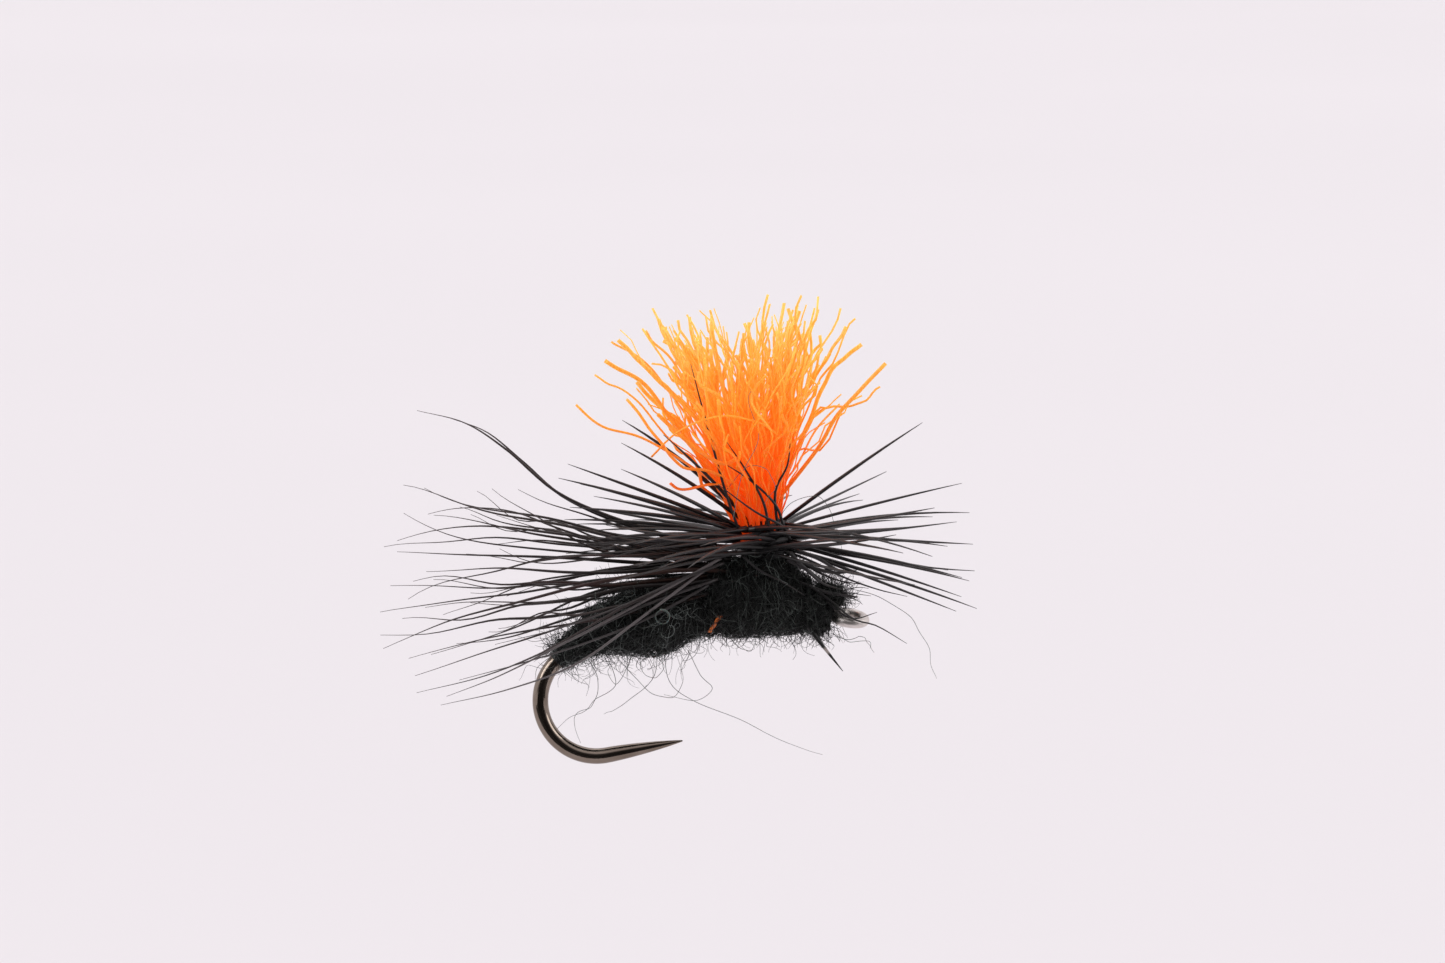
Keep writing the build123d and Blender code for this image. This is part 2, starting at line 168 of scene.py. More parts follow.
def smooth_path(controls, points):
    """One smooth path, a Catmull-Rom curve, through a few given points."""
    controls = np.asarray(controls, dtype=float)
    ends = (2 * controls[:1] - controls[1:2], 2 * controls[-1:] - controls[-2:-1])
    padded = np.vstack([ends[0], controls, ends[1]])
    spans = len(controls) - 1
    u = np.linspace(0, spans, points)
    i = np.minimum(u.astype(int), spans - 1)
    f = (u - i)[:, None]
    a, b, c, d = (padded[i + k] for k in range(4))
    return 0.5 * (2 * b + (c - a) * f + (2 * a - 5 * b + 4 * c - d) * f**2 + (3 * b - 3 * c + d - a) * f**3)


def smooth_paths(routes, points):
    """The smooth paths of several routes."""
    return np.stack([smooth_path(route, points) for route in routes])


def waves(rng, count, points, size, cycles=(0.6, 2.0)):
    """Slow sideways wander that grows from nothing at each strand's root."""
    t = np.linspace(0, 1, points)[None, :, None]
    wander = np.zeros((count, points, 3))
    for share in (1.0, 0.5):
        turns = rng.uniform(*cycles, (count, 1, 3)) / share
        phase = rng.uniform(0, 2 * np.pi, (count, 1, 3))
        swing = rng.normal(0, 1, (count, 1, 3)) * share
        wander += swing * (np.sin(2 * np.pi * turns * t + phase) - np.sin(phase))
    return wander * size * t


def taper(count, points, root, tip, power=2.2):
    """Radii that stay near the root's for most of the way and then fall to the tip's."""
    t = np.linspace(0, 1, points)[None, :]
    root = np.broadcast_to(np.asarray(root, dtype=float).reshape(-1, 1), (count, 1))
    return tip + (root - tip) * (1 - t**power)


# ---- materials


def new_material(name):
    """A node material, its node tree's nodes and links, and its Principled shader."""
    material = bpy.data.materials.new(name)
    material.use_nodes = True
    nodes = material.node_tree.nodes
    return material, nodes, material.node_tree.links, nodes["Principled BSDF"]


def colour_ramp(nodes, stops):
    """A colour ramp from (place, colour) pairs."""
    ramp = nodes.new("ShaderNodeValToRGB")
    for index, (place, colour) in enumerate(stops):
        element = ramp.color_ramp.elements[index] if index < 2 else ramp.color_ramp.elements.new(place)
        element.position = place
        element.color = (*colour, 1)
    return ramp


def noise_of(nodes, links, scale, detail=2.0):
    """Noise that is fixed to the object; scale is in features to the metre."""
    coords = nodes.new("ShaderNodeTexCoord")
    grain = nodes.new("ShaderNodeTexNoise")
    grain.inputs["Scale"].default_value = scale
    grain.inputs["Detail"].default_value = detail
    links.new(coords.outputs["Object"], grain.inputs["Vector"])
    return grain.outputs["Fac"]


def tinted(nodes, links, source, stops, target):
    """Colours a value by a ramp and leads it to a socket."""
    ramp = colour_ramp(nodes, stops)
    links.new(source, ramp.inputs["Fac"])
    links.new(ramp.outputs["Color"], target)


def bumped(nodes, links, source, strength, distance, shader):
    """Raises the surface by a value."""
    bump = nodes.new("ShaderNodeBump")
    bump.inputs["Strength"].default_value = strength
    bump.inputs["Distance"].default_value = distance
    links.new(source, bump.inputs["Height"])
    links.new(bump.outputs["Normal"], shader.inputs["Normal"])


def fine_bump(nodes, links, shader, scale, strength, distance):
    """A fine grain on the surface."""
    bumped(nodes, links, noise_of(nodes, links, scale, 3), strength, distance, shader)


def attribute(nodes, name):
    """The value of a mesh attribute."""
    reader = nodes.new("ShaderNodeAttribute")
    reader.attribute_name = name
    return reader.outputs["Fac"]


def blended(nodes, links, kind, one, other):
    """Two colours blended in full."""
    mix = nodes.new("ShaderNodeMix")
    mix.data_type = "RGBA"
    mix.blend_type = kind
    mix.inputs["Factor"].default_value = 1.0
    links.new(one, mix.inputs["A"])
    links.new(other, mix.inputs["B"])
    return mix.outputs["Result"]


def strand_material(name, root, tip, bright, roughness, spread):
    """Hair or fibre that changes colour from root to tip; the share spread of the strands is brighter."""
    material, nodes, links, shader = new_material(name)
    ramp = colour_ramp(nodes, [(0.15, root), (1.0, tip)])
    lift = colour_ramp(nodes, [(1 - spread, root), (1.0, bright)])
    links.new(attribute(nodes, "along"), ramp.inputs["Fac"])
    links.new(attribute(nodes, "shade"), lift.inputs["Fac"])
    colour = blended(nodes, links, "LIGHTEN", ramp.outputs["Color"], lift.outputs["Color"])
    links.new(colour, shader.inputs["Base Color"])
    shader.inputs["Roughness"].default_value = roughness
    return material, nodes, links, shader


def hackle_material():
    """Stiff glossy black cock hackle, a little brown where it thins out."""
    material, nodes, links, shader = strand_material(
        "black_cock_hackle", (0.008, 0.007, 0.0072), (0.030, 0.024, 0.023), (0.022, 0.019, 0.020), 0.40, 0.5)
    shader.inputs["Specular IOR Level"].default_value = 0.55
    fine_bump(nodes, links, shader, 9000, 0.25, 0.00002)
    return material


def hair_material():
    """Long soft hair, near black with a reddish brown glow in some strands."""
    material, nodes, links, shader = strand_material(
        "dark_brown_hair", (0.0075, 0.0052, 0.0050), (0.052, 0.037, 0.034), (0.040, 0.017, 0.012), 0.34, 0.35)
    fine_bump(nodes, links, shader, 9000, 0.2, 0.00002)
    return material


def grey_hair_painted_highlight_material():
    """The few near hairs painted paler, a painted highlight where they catch the light."""
    return strand_material(
        "grey_brown_hair_painted_highlight", (0.030, 0.026, 0.026), (0.10, 0.09, 0.09), (0.16, 0.14, 0.14), 0.35, 0.5)[0]


def fur_material(name, bright, spread):
    """Loose dubbing fibre: black with a greenish grey cast in the brighter strands."""
    root, tip = (0.006, 0.0068, 0.0062), (0.012, 0.015, 0.013)
    material, _, _, shader = strand_material(name, root, tip, bright, 0.50, spread)
    shader.inputs["Specular IOR Level"].default_value = 0.35
    return material


def pale_fibre_material():
    """The odd long fibre, grey green and half see-through."""
    material, _, _, shader = strand_material(
        "grey_green_fibre", (0.045, 0.058, 0.052), (0.12, 0.15, 0.135), (0.20, 0.24, 0.22), 0.5, 0.4)
    shader.inputs["Subsurface Weight"].default_value = 0.2
    shader.inputs["Subsurface Scale"].default_value = 0.00005
    return material


def packed_fur_material():
    """The felted mass under the loose fibres."""
    material, nodes, links, shader = new_material("black_dubbing_felt")
    grain = noise_of(nodes, links, 7000, 5)
    stops = [(0.35, (0.003, 0.0034, 0.003)), (0.8, (0.011, 0.0125, 0.011))]
    tinted(nodes, links, grain, stops, shader.inputs["Base Color"])
    bumped(nodes, links, grain, 0.8, 0.00006, shader)
    shader.inputs["Roughness"].default_value = 0.8
    shader.inputs["Specular IOR Level"].default_value = 0.2
    return material


def yarn_painted_light_material():
    """Fluorescent orange yarn, streaked: deep red orange low down where it is packed, painted lighter towards
    the top as painted backlight through the thin open tips, and glowing by painted emission.
    """
    material, nodes, links, shader = new_material("fluorescent_orange_yarn_painted_light")
    coords = nodes.new("ShaderNodeTexCoord")
    split = nodes.new("ShaderNodeSeparateXYZ")
    # painted backlight: the colour runs by height from deep red orange at the hub to light orange at the top
    height = nodes.new("ShaderNodeMapRange")
    height.inputs["From Min"].default_value = (HUB[2] + 0.4) * MM
    height.inputs["From Max"].default_value = (HUB[2] + 8.0) * MM
    ramp = colour_ramp(nodes, [(0.0, (0.80, 0.085, 0.004)), (1.0, (0.98, 0.58, 0.15)),
                               (0.20, (0.95, 0.19, 0.010)), (0.5, (0.97, 0.39, 0.040))])
    tone = colour_ramp(nodes, [(0.0, (0.92, 0.80, 0.65)), (1.0, (1.0, 1.0, 1.0))])
    stretch = nodes.new("ShaderNodeMapping")
    stretch.inputs["Scale"].default_value = (1.0, 1.0, 0.12)
    fibre = nodes.new("ShaderNodeTexNoise")
    fibre.inputs["Scale"].default_value = 22000
    fibre.inputs["Detail"].default_value = 2
    streak = colour_ramp(nodes, [(0.36, (0.90, 0.74, 0.52)), (0.60, (1.0, 1.0, 1.0))])
    links.new(coords.outputs["Object"], split.inputs["Vector"])
    links.new(split.outputs["Z"], height.inputs["Value"])
    links.new(height.outputs["Result"], ramp.inputs["Fac"])
    links.new(attribute(nodes, "shade"), tone.inputs["Fac"])
    links.new(coords.outputs["Object"], stretch.inputs["Vector"])
    links.new(stretch.outputs["Vector"], fibre.inputs["Vector"])
    links.new(fibre.outputs["Fac"], streak.inputs["Fac"])
    streaked = blended(nodes, links, "MULTIPLY", tone.outputs["Color"], streak.outputs["Color"])
    colour = blended(nodes, links, "MULTIPLY", ramp.outputs["Color"], streaked)
    links.new(colour, shader.inputs["Base Color"])
    # painted glow: the yarn's colour also drives emission, so it shines though it is no lamp
    links.new(colour, shader.inputs["Emission Color"])
    shader.inputs["Emission Strength"].default_value = 0.26
    shader.inputs["Roughness"].default_value = 0.42
    shader.inputs["Subsurface Weight"].default_value = 0.6
    shader.inputs["Subsurface Radius"].default_value = (1.0, 0.55, 0.2)
    shader.inputs["Subsurface Scale"].default_value = 0.0003
    fine_bump(nodes, links, shader, 6000, 0.3, 0.00002)
    return material


def mottled_material(name, scale, stops, roughness):
    """Plain fibre whose colour wanders between two shades."""
    material, nodes, links, shader = new_material(name)
    tinted(nodes, links, noise_of(nodes, links, scale), stops, shader.inputs["Base Color"])
    shader.inputs["Roughness"].default_value = roughness
    return material


def shaded_waist_yarn_material():
    """The short end of yarn at the waist, painted darker and duller as painted shade under the black fibres
    over it.
    """
    stops = [(0.35, (0.35, 0.06, 0.01)), (0.7, (0.85, 0.22, 0.03))]
    return mottled_material("orange_yarn_painted_shade", 5000, stops, 0.5)


def thread_material():
    """Waxed black tying thread."""
    stops = [(0.3, (0.006, 0.006, 0.007)), (0.8, (0.020, 0.019, 0.020))]
    return mottled_material("waxed_black_thread", 12000, stops, 0.45)


def hook_material(name, deep, pale, polished, worn):
    """Bronzed steel wire with a cloudy tint and fine drawing marks, rougher where it is worn."""
    material, nodes, links, shader = new_material(name)
    cloud = noise_of(nodes, links, 900, 4)
    tinted(nodes, links, cloud, [(0.3, deep), (0.75, pale)], shader.inputs["Base Color"])
    tinted(nodes, links, cloud, [(0.3, (polished,) * 3), (0.8, (worn,) * 3)], shader.inputs["Roughness"])
    shader.inputs["Metallic"].default_value = 1.0
    fine_bump(nodes, links, shader, 14000, 0.12, 0.00001)
    return material


def spike_material():
    """Black quill with one pale band."""
    material, nodes, links, shader = new_material("banded_quill")
    black, pale = (0.008, 0.007, 0.007), (0.30, 0.26, 0.24)
    stops = [(0.0, black), (1.0, black), (0.60, black), (0.64, pale), (0.69, pale), (0.73, black)]
    tinted(nodes, links, attribute(nodes, "along"), stops, shader.inputs["Base Color"])
    shader.inputs["Roughness"].default_value = 0.35
    fine_bump(nodes, links, shader, 9000, 0.2, 0.00002)
    return material


# ---- the body's surface

HOOK_NODES = ("hook_shank", "hook_bend")
BODY_NODES = ("abdomen_dubbing", "thorax_dubbing", "head_dubbing")
BODY_AXIS_X = (-9.35, -8.4, -7.3, -6.0, -4.6, -2.5, -0.7)
BODY_AXIS_Z = (-1.05, -0.50, -0.15, 0.00, 0.35, 0.50, 0.25)
BODY_STEPS = 150
ROUND_STEPS = 72
OUTSIDE = 6.0
LEAST_REACH = 0.15


def body_tree():
    """A search tree of the dubbing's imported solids, in millimetres."""
    verts, faces = [], []
    for name in BODY_NODES:
        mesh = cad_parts[name].data
        first = len(verts)
        verts += [tuple(v.co / MM) for v in mesh.vertices]
        faces += [tuple(first + i for i in p.vertices) for p in mesh.polygons]
    return BVHTree.FromPolygons(verts, faces)


def body_radii():
    """How far the dubbing reaches from the body's axis, by place along it and angle round it."""
    tree = body_tree()
    low, high = node_box("abdomen_dubbing")[0][0], node_box("head_dubbing")[1][0]
    places = np.linspace(low + 0.02, high - 0.02, BODY_STEPS)
    angles = np.linspace(0, 2 * np.pi, ROUND_STEPS, endpoint=False)
    reach = np.full((BODY_STEPS, ROUND_STEPS), np.nan)
    for i, x in enumerate(places):
        centre = Vector((x, 0, float(np.interp(x, BODY_AXIS_X, BODY_AXIS_Z))))
        for j, angle in enumerate(angles):
            out = Vector((0, math.cos(angle), math.sin(angle)))
            hit = tree.ray_cast(centre + out * OUTSIDE, -out)[0]
            if hit is not None and (hit - centre).dot(out) > LEAST_REACH:
                reach[i, j] = (hit - centre).dot(out)
    for j in range(ROUND_STEPS):
        known = ~np.isnan(reach[:, j])
        reach[:, j] = np.interp(places, places[known], reach[known, j])
    return places, angles, reach


BODY_X, BODY_ANGLE, BODY_REACH = body_radii()


def body_reach(x, angle):
    """The dubbing's reach at any place and angle, smoothly between the sampled ones."""
    i = np.clip((x - BODY_X[0]) / (BODY_X[1] - BODY_X[0]), 0, BODY_STEPS - 1.001)
    j = (angle / (2 * np.pi) * ROUND_STEPS) % ROUND_STEPS
    i0, j0 = i.astype(int), j.astype(int)
    fi, fj = i - i0, j - j0
    j1 = (j0 + 1) % ROUND_STEPS
    near = BODY_REACH[i0, j0] * (1 - fj) + BODY_REACH[i0, j1] * fj
    far = BODY_REACH[i0 + 1, j0] * (1 - fj) + BODY_REACH[i0 + 1, j1] * fj
    return near * (1 - fi) + far * fi


def on_body(x, angle, lift=0.0):
    """A point on the dubbing, lifted off its surface."""
    x, angle, lift = np.broadcast_arrays(x, angle, lift)
    reach = body_reach(x, angle) + lift
    axis_z = np.interp(x, BODY_AXIS_X, BODY_AXIS_Z)
    return np.stack([x, reach * np.cos(angle), axis_z + reach * np.sin(angle)], -1)


# ---- dubbing


def fur_core(name, start, end, node, material):
    """The felted mass of one stretch of dubbing: uneven wraps, closed at both ends."""
    row_pitch, columns, wrap_pitch, wrap_height, sink = 0.045, 84, 0.55, 0.025, 0.07
    rows = int((end - start) / row_pitch)
    x = np.linspace(start, end, rows)
    angle = np.linspace(0, 2 * np.pi, columns, endpoint=False)
    grid_x, grid_a = np.meshgrid(x, angle, indexing="ij")
    wraps = np.sin(2 * np.pi * (grid_x / wrap_pitch + grid_a / (2 * np.pi))) * wrap_height
    points = on_body(grid_x, grid_a, wraps - sink)
    lumps = np.array([noise.fractal(Vector(p * 1.6), 0.8, 2.1, 3) for p in points.reshape(-1, 3)])
    fuzz = np.array([noise.noise(Vector(p * 9.0)) for p in points.reshape(-1, 3)])
    rough = (0.13 * lumps + 0.06 * fuzz).reshape(grid_x.shape)
    ends = np.minimum(1, np.minimum(grid_x - start, end - grid_x) / 0.12 + 0.75)
    points = on_body(grid_x, grid_a, wraps - sink + rough)
    axis = np.stack([grid_x, np.zeros_like(grid_x), np.interp(grid_x, BODY_AXIS_X, BODY_AXIS_Z)], -1)
    points = axis + (points - axis) * ends[..., None]
    make_piece(name, points.reshape(-1, 3), wrapped_faces(rows, columns), material, (node,))


FIBRE_POINTS = 14


def laid_fibres(rng, count, start, end):
    """Matted fibres that wander over the body, mostly round it, with their ends lifting off."""
    t = np.linspace(0, 1, FIBRE_POINTS)[None, :]
    length = rng.uniform(0.5, 2.2, (count, 1))
    heading = np.pi / 2 * rng.choice([-1, 1], (count, 1)) + rng.normal(0, 0.75, (count, 1))
    heading = heading + rng.normal(0, 1.6, (count, 1)) * t
    heading = heading + rng.normal(0, 0.5, (count, 1)) * np.sin(t * rng.uniform(4, 16, (count, 1)))
    step = length / (FIBRE_POINTS - 1)
    x = rng.uniform(start, end, (count, 1)) + np.cumsum(np.cos(heading) * step, axis=1)
    x = np.clip(x, start - 0.05, end + 0.05)
    angle = rng.uniform(0, 2 * np.pi, (count, 1)) + np.cumsum(np.sin(heading) * step, axis=1) / 0.85
    lift = rng.uniform(-0.05, 0.09, (count, 1)) + rng.exponential(0.07, (count, 1)) * (np.abs(2 * t - 1) ** 3)
    lift = lift + 0.03 * np.sin(t * rng.uniform(5, 15, (count, 1)))
    return on_body(x, angle, lift)


def curls(rng, root, lean, length):
    """Curly fibres from given roots; each winds about its own drifting axis."""
    count = len(root)
    one = unit(np.cross(lean, rng.normal(0, 1, (count, 3))))
    two = np.cross(lean, one)
    s = np.linspace(0, 1, FIBRE_POINTS)[None, :, None] * np.asarray(length).reshape(-1, 1, 1)
    rate = rng.uniform(2.5, 7.5, (count, 1, 1)) * rng.choice([-1, 1], (count, 1, 1))
    phase = rng.uniform(0, 2 * np.pi, (count, 1, 1))
    forward = rng.uniform(0.35, 1.2, (count, 1, 1))
    winding = one[:, None] * (np.sin(rate * s + phase) - np.sin(phase)) / rate
    winding = winding - two[:, None] * (np.cos(rate * s + phase) - np.cos(phase)) / rate
    return root[:, None] + lean[:, None] * s * forward + winding


def loose_fibres(rng, x, angle, length):
    """Curly fibres that stand off the body."""
    out = np.stack([np.zeros(len(x)), np.cos(angle), np.sin(angle)], -1)
    lean = unit(out * rng.uniform(0.15, 1.0, (len(x), 1)) + rng.normal(0, 0.6, (len(x), 3)))
    return curls(rng, on_body(x, angle, -0.05), lean, length)


def felt_lump(name, centre, radii, node, material, seed):
    """A small felted lump of fur."""
    rows, columns = 36, 48
    polar = np.linspace(0.06, np.pi - 0.06, rows)[:, None]
    round_it = np.linspace(0, 2 * np.pi, columns, endpoint=False)[None, :]
    out = np.stack([np.sin(polar) * np.cos(round_it), np.sin(polar) * np.sin(round_it),
                    np.cos(polar) * np.ones_like(round_it)], -1).reshape(-1, 3)
    points = np.array(centre) + out * np.array(radii)
    rough = np.array([noise.fractal(Vector(p * 2.4 + seed), 0.8, 2.1, 4) for p in points])
    points = points + out * rough[:, None] * 0.13
    make_piece(name, points, wrapped_faces(rows, columns), material, (node,))


def lump_fibres(name, count, centre, radii, longest, node, material, seed):
    """Tangled fibres over a felted lump."""
    rng = np.random.default_rng(seed)
    out = unit(rng.normal(0, 1, (count, 3)))
    root = np.array(centre) + out * np.array(radii) * rng.uniform(0.80, 1.05, (count, 1))
    sideways = unit(np.cross(out, rng.normal(0, 1, (count, 3))))
    lean = unit(sideways + out * rng.uniform(-0.2, 0.9, (count, 1)))
    length = rng.uniform(0.3, 1.0, count) ** 1.5 * longest + 0.2
    paths = curls(rng, root, lean, length)
    radius = taper(count, paths.shape[1], rng.uniform(0.0055, 0.0115, count), 0.004, 3)
    strand_piece(name, paths, radius, material, (node,), sides=3)


def fur_fibres(name, start, end, laid, loose, longest, node, material, seed):
    """All the loose fibre of one stretch of dubbing."""
    rng = np.random.default_rng(seed)
    paths = laid_fibres(rng, laid, start, end)
    x = rng.uniform(start, end, loose)
    angle = rng.uniform(0, 2 * np.pi, loose)
    length = rng.uniform(0.25, 1.0, loose) ** 2 * longest + 0.15
    paths = np.concatenate([paths, loose_fibres(rng, x, angle, length)])
    thick = rng.uniform(0.0055, 0.0110, laid + loose)
    radii = taper(laid + loose, paths.shape[1], thick, 0.005, 3)
    strand_piece(name, paths, radii, material, (node,), sides=3)


def stray_fibres(material):
    """The few long fibres that hang in loops under the abdomen and past the head."""
    rng = np.random.default_rng(77)
    routes = [
        [(-6.2, -0.6, -1.0), (-6.0, -0.7, -2.1), (-5.2, -0.6, -2.7), (-3.6, -0.5, -3.4), (-2.2, -0.4, -4.1),
         (-0.9, -0.4, -4.5)],
        [(-7.9, -0.5, -1.1), (-7.2, -0.6, -1.9), (-6.6, -0.7, -2.5), (-5.9, -0.6, -2.6), (-5.6, -0.5, -2.0),
         (-5.9, -0.4, -1.1)],
        [(-8.8, -0.3, -1.2), (-8.4, -0.4, -2.0), (-8.6, -0.3, -2.8), (-9.2, -0.3, -3.3), (-9.0, -0.2, -3.9)],
        [(-8.2, 0.3, -1.1), (-7.8, 0.2, -2.2), (-8.3, 0.1, -2.6), (-8.9, 0.0, -3.1), (-9.9, -0.1, -3.7)],
        [(-7.2, 0.1, -1.1), (-7.6, 0.0, -2.0), (-7.9, -0.1, -2.2), (-8.1, -0.2, -1.8), (-7.6, -0.3, -1.2)],
        [(-6.4, 0.2, -1.1), (-6.6, 0.1, -2.1), (-7.6, 0.0, -2.9), (-8.2, 0.0, -3.3)],
        [(-4.1, -0.5, -0.5), (-3.7, -0.6, -0.9), (-3.3, -0.6, -1.0), (-3.1, -0.5, -0.6)],
        [(-0.4, -0.3, 1.1), (0.9, -0.4, 0.8), (2.0, -0.5, 0.1), (2.6, -0.6, -0.9), (2.85, -0.6, -1.9)],
        [(-2.4, -0.9, 3.4), (-1.9, -0.9, 4.0), (-1.0, -0.8, 4.1), (-0.5, -0.7, 3.2), (-0.2, -0.7, 2.4)],
        [(-0.6, -0.2, -0.5), (-0.1, -0.3, -0.7), (0.4, -0.3, -0.6), (0.6, -0.3, -1.0)],
        [(-9.3, -0.3, -0.9), (-9.9, -0.4, -1.2), (-10.4, -0.4, -1.6), (-10.5, -0.4, -2.0)],
        [(-9.2, 0.2, -0.8), (-9.6, 0.2, -0.5), (-10.4, 0.2, -0.8), (-11.2, 0.1, -0.6)],
        [(-0.4, -0.4, -0.5), (0.0, -0.5, -0.75), (0.6, -0.5, -0.7), (0.75, -0.5, -1.1)],
        [(-4.1, -0.9, 4.4), (-3.4, -1.2, 5.2), (-2.8, -1.3, 5.1), (-2.5, -1.2, 4.5), (-2.9, -1.1, 3.9)],
        [(-3.9, -1.1, 3.4), (-3.6, -1.4, 5.0), (-3.1, -1.5, 6.2), (-3.4, -1.5, 7.4), (-2.9, -1.4, 8.1)],
        [(-5.4, -0.6, -1.0), (-5.0, -0.8, -1.8), (-4.6, -0.8, -2.3), (-5.2, -0.7, -2.7), (-6.2, -0.6, -2.5)],
        [(-6.6, -0.6, -1.1), (-6.2, -0.8, -1.5), (-6.5, -0.8, -1.9), (-7.0, -0.7, -1.6), (-6.8, -0.6, -1.1)],
    ]
    points, curl_r, curl_turns = 40, 0.20, 1.3
    paths = smooth_paths(routes, points)
    paths += waves(rng, len(routes), points, 0.05, (1, 2.5))
    radii = taper(len(routes), points, 0.0105, 0.006, 3)
    t = np.linspace(0, 1, points)
    turn = 2 * np.pi * curl_turns * t
    ring = np.stack([curl_r * np.cos(turn), -0.1 * t, curl_r * np.sin(turn)], -1)
    curl = np.array([[-6.25, -1.38, 0.20]]) + ring * (1 + 0.3 * t[:, None])
    paths = np.concatenate([paths, curl[None]])
    radii = np.concatenate([radii, np.full((1, points), 0.018)])
    strand_piece("dubbing_strays", paths, radii, material, ("abdomen_dubbing",), sides=5)


# ---- hook


DROOP = math.radians(8.0)
EYE_ROLL = math.radians(12.0)
EYE_RING_R = 0.48
EYE_WIRE_R = 0.18
WIRE_R = 0.265
NECK_LENGTH = 1.0
NECK_STEPS = 8
POINT_LENGTH = 2.58
POINT_STEPS = 25
POINT_TIP_R = 0.022
HOOK_ARCS = ((15.44, math.radians(23.0)), (4.78, math.radians(31.0)), (1.87, math.radians(144.8)))


def hook_route():
    """The wire's centreline from the eye to the point, and its radius along the way."""
    heading = math.pi - DROOP
    place = np.array([-EYE_RING_R * math.cos(DROOP), EYE_RING_R * math.sin(DROOP)])
    trail = [place]
    for step in np.linspace(0, NECK_LENGTH, NECK_STEPS)[1:]:
        trail.append(place + step * np.array([math.cos(heading), math.sin(heading)]))
    for radius, turn in HOOK_ARCS:
        centre = trail[-1] + radius * np.array([-math.sin(heading), math.cos(heading)])
        for share in np.linspace(0, 1, max(16, int(turn * 30)))[1:]:
            now = heading + turn * share
            trail.append(centre + radius * np.array([math.sin(now), -math.cos(now)]))
        heading += turn
    place = trail[-1]
    reach = 1 - (1 - np.linspace(0, 1, POINT_STEPS + 1)[1:]) ** 1.4
    for share in reach:
        trail.append(place + POINT_LENGTH * share * np.array([math.cos(heading), math.sin(heading)]))
    flat = np.array(trail)
    path = np.stack([flat[:, 0], np.zeros(len(flat)), flat[:, 1]], -1)
    radius = np.full(len(path), WIRE_R)
    radius[:NECK_STEPS] = np.linspace(EYE_WIRE_R, WIRE_R, NECK_STEPS)
    radius[-POINT_STEPS:] = POINT_TIP_R + (WIRE_R - POINT_TIP_R) * (1 - reach**1.6) ** 0.9
    return path, radius


def hook_pieces(material, eye_material):
    """The long wire, and the wire of the eye, curled round until its end butts against the neck."""
    path, radius = hook_route()
    strand_piece("hook_wire", path[None], radius[None], material, HOOK_NODES, sides=40)
    forward = np.array([math.cos(DROOP), 0, -math.sin(DROOP)])
    lean = math.sin(EYE_ROLL)
    far = np.array([math.sin(DROOP) * lean, math.cos(EYE_ROLL), math.cos(DROOP) * lean])
    turn = np.linspace(-math.pi + 0.10, math.pi - 0.34, 90)[:, None]
    ring = EYE_RING_R * (forward * np.cos(turn) + far * np.sin(turn))
    radius = np.full((1, len(turn)), EYE_WIRE_R)
    # the eye takes the paler wire material, a painted highlight
    strand_piece("eye_wire", ring[None], radius, eye_material, HOOK_NODES, sides=32)


# ---- post


CROWN_LENGTH = 7.6
CROWN_LEAN = 16.5
STRAY_SHARE = 0.14


def crown_paths(rng, count, azimuth, inner):
    """Filaments that rise packed through the hub and open above it into a kinked, crossing fan."""
    points = 22
    t = np.linspace(0, 1, points)[None, :]
    azimuth = azimuth.reshape(-1, 1)
    share = np.sqrt(rng.uniform(inner**2, 1, (count, 1)))
    rear, front = np.maximum(0, -np.cos(azimuth)), np.maximum(0, np.cos(azimuth))
    stray = rng.random((count, 1)) < STRAY_SHARE
    lean = (CROWN_LEAN + 3.5 * rear + front) * share * rng.uniform(0.55, 1.2, (count, 1))
    lean = np.radians(np.where(stray, lean * rng.uniform(1.2, 1.5 + 0.6 * rear), lean))
    length = CROWN_LENGTH * (1 - 0.50 * rng.random((count, 1)) ** 1.25)
    out = share * POST_R + length * np.sin(lean) * np.maximum(0, (t - 0.06) / 0.94) ** 1.25
    height = -0.12 + (length + 0.27) * np.cos(lean) * t
    paths = at_post(out * np.cos(azimuth) - 0.12, out * np.sin(azimuth), height)
    kink = np.maximum(0, t - rng.uniform(0.35, 0.9, (count, 1)))[..., None]
    paths = paths + waves(rng, count, points, 0.15, (0.9, 3.0))
    paths = paths + kink * rng.normal(0, (1.7, 1.7, 0.5), (count, 1, 3))
    notch = 1 - 0.14 * np.exp(-(((paths[:, -1:, :1] - NOTCH_X) / 0.4) ** 2))
    return paths[:, :1] + (paths - paths[:, :1]) * notch


def crown_piece(group, count, sector, material, seed, inner):
    """One group of the crown's filaments, as flat ribbons with blunt ends."""
    rng = np.random.default_rng(seed)
    azimuth = np.radians(rng.uniform(*sector, count))
    paths = crown_paths(rng, count, azimuth, inner)
    width = rng.uniform(0.034, 0.065, (count, 1)) * np.ones((1, paths.shape[1]))
    roll = rng.uniform(0, np.pi, count)
    nodes = ("post_filaments_" + group,)
    strand_piece("crown_" + group, paths, width, material, nodes, flatness=0.45, roll=roll)


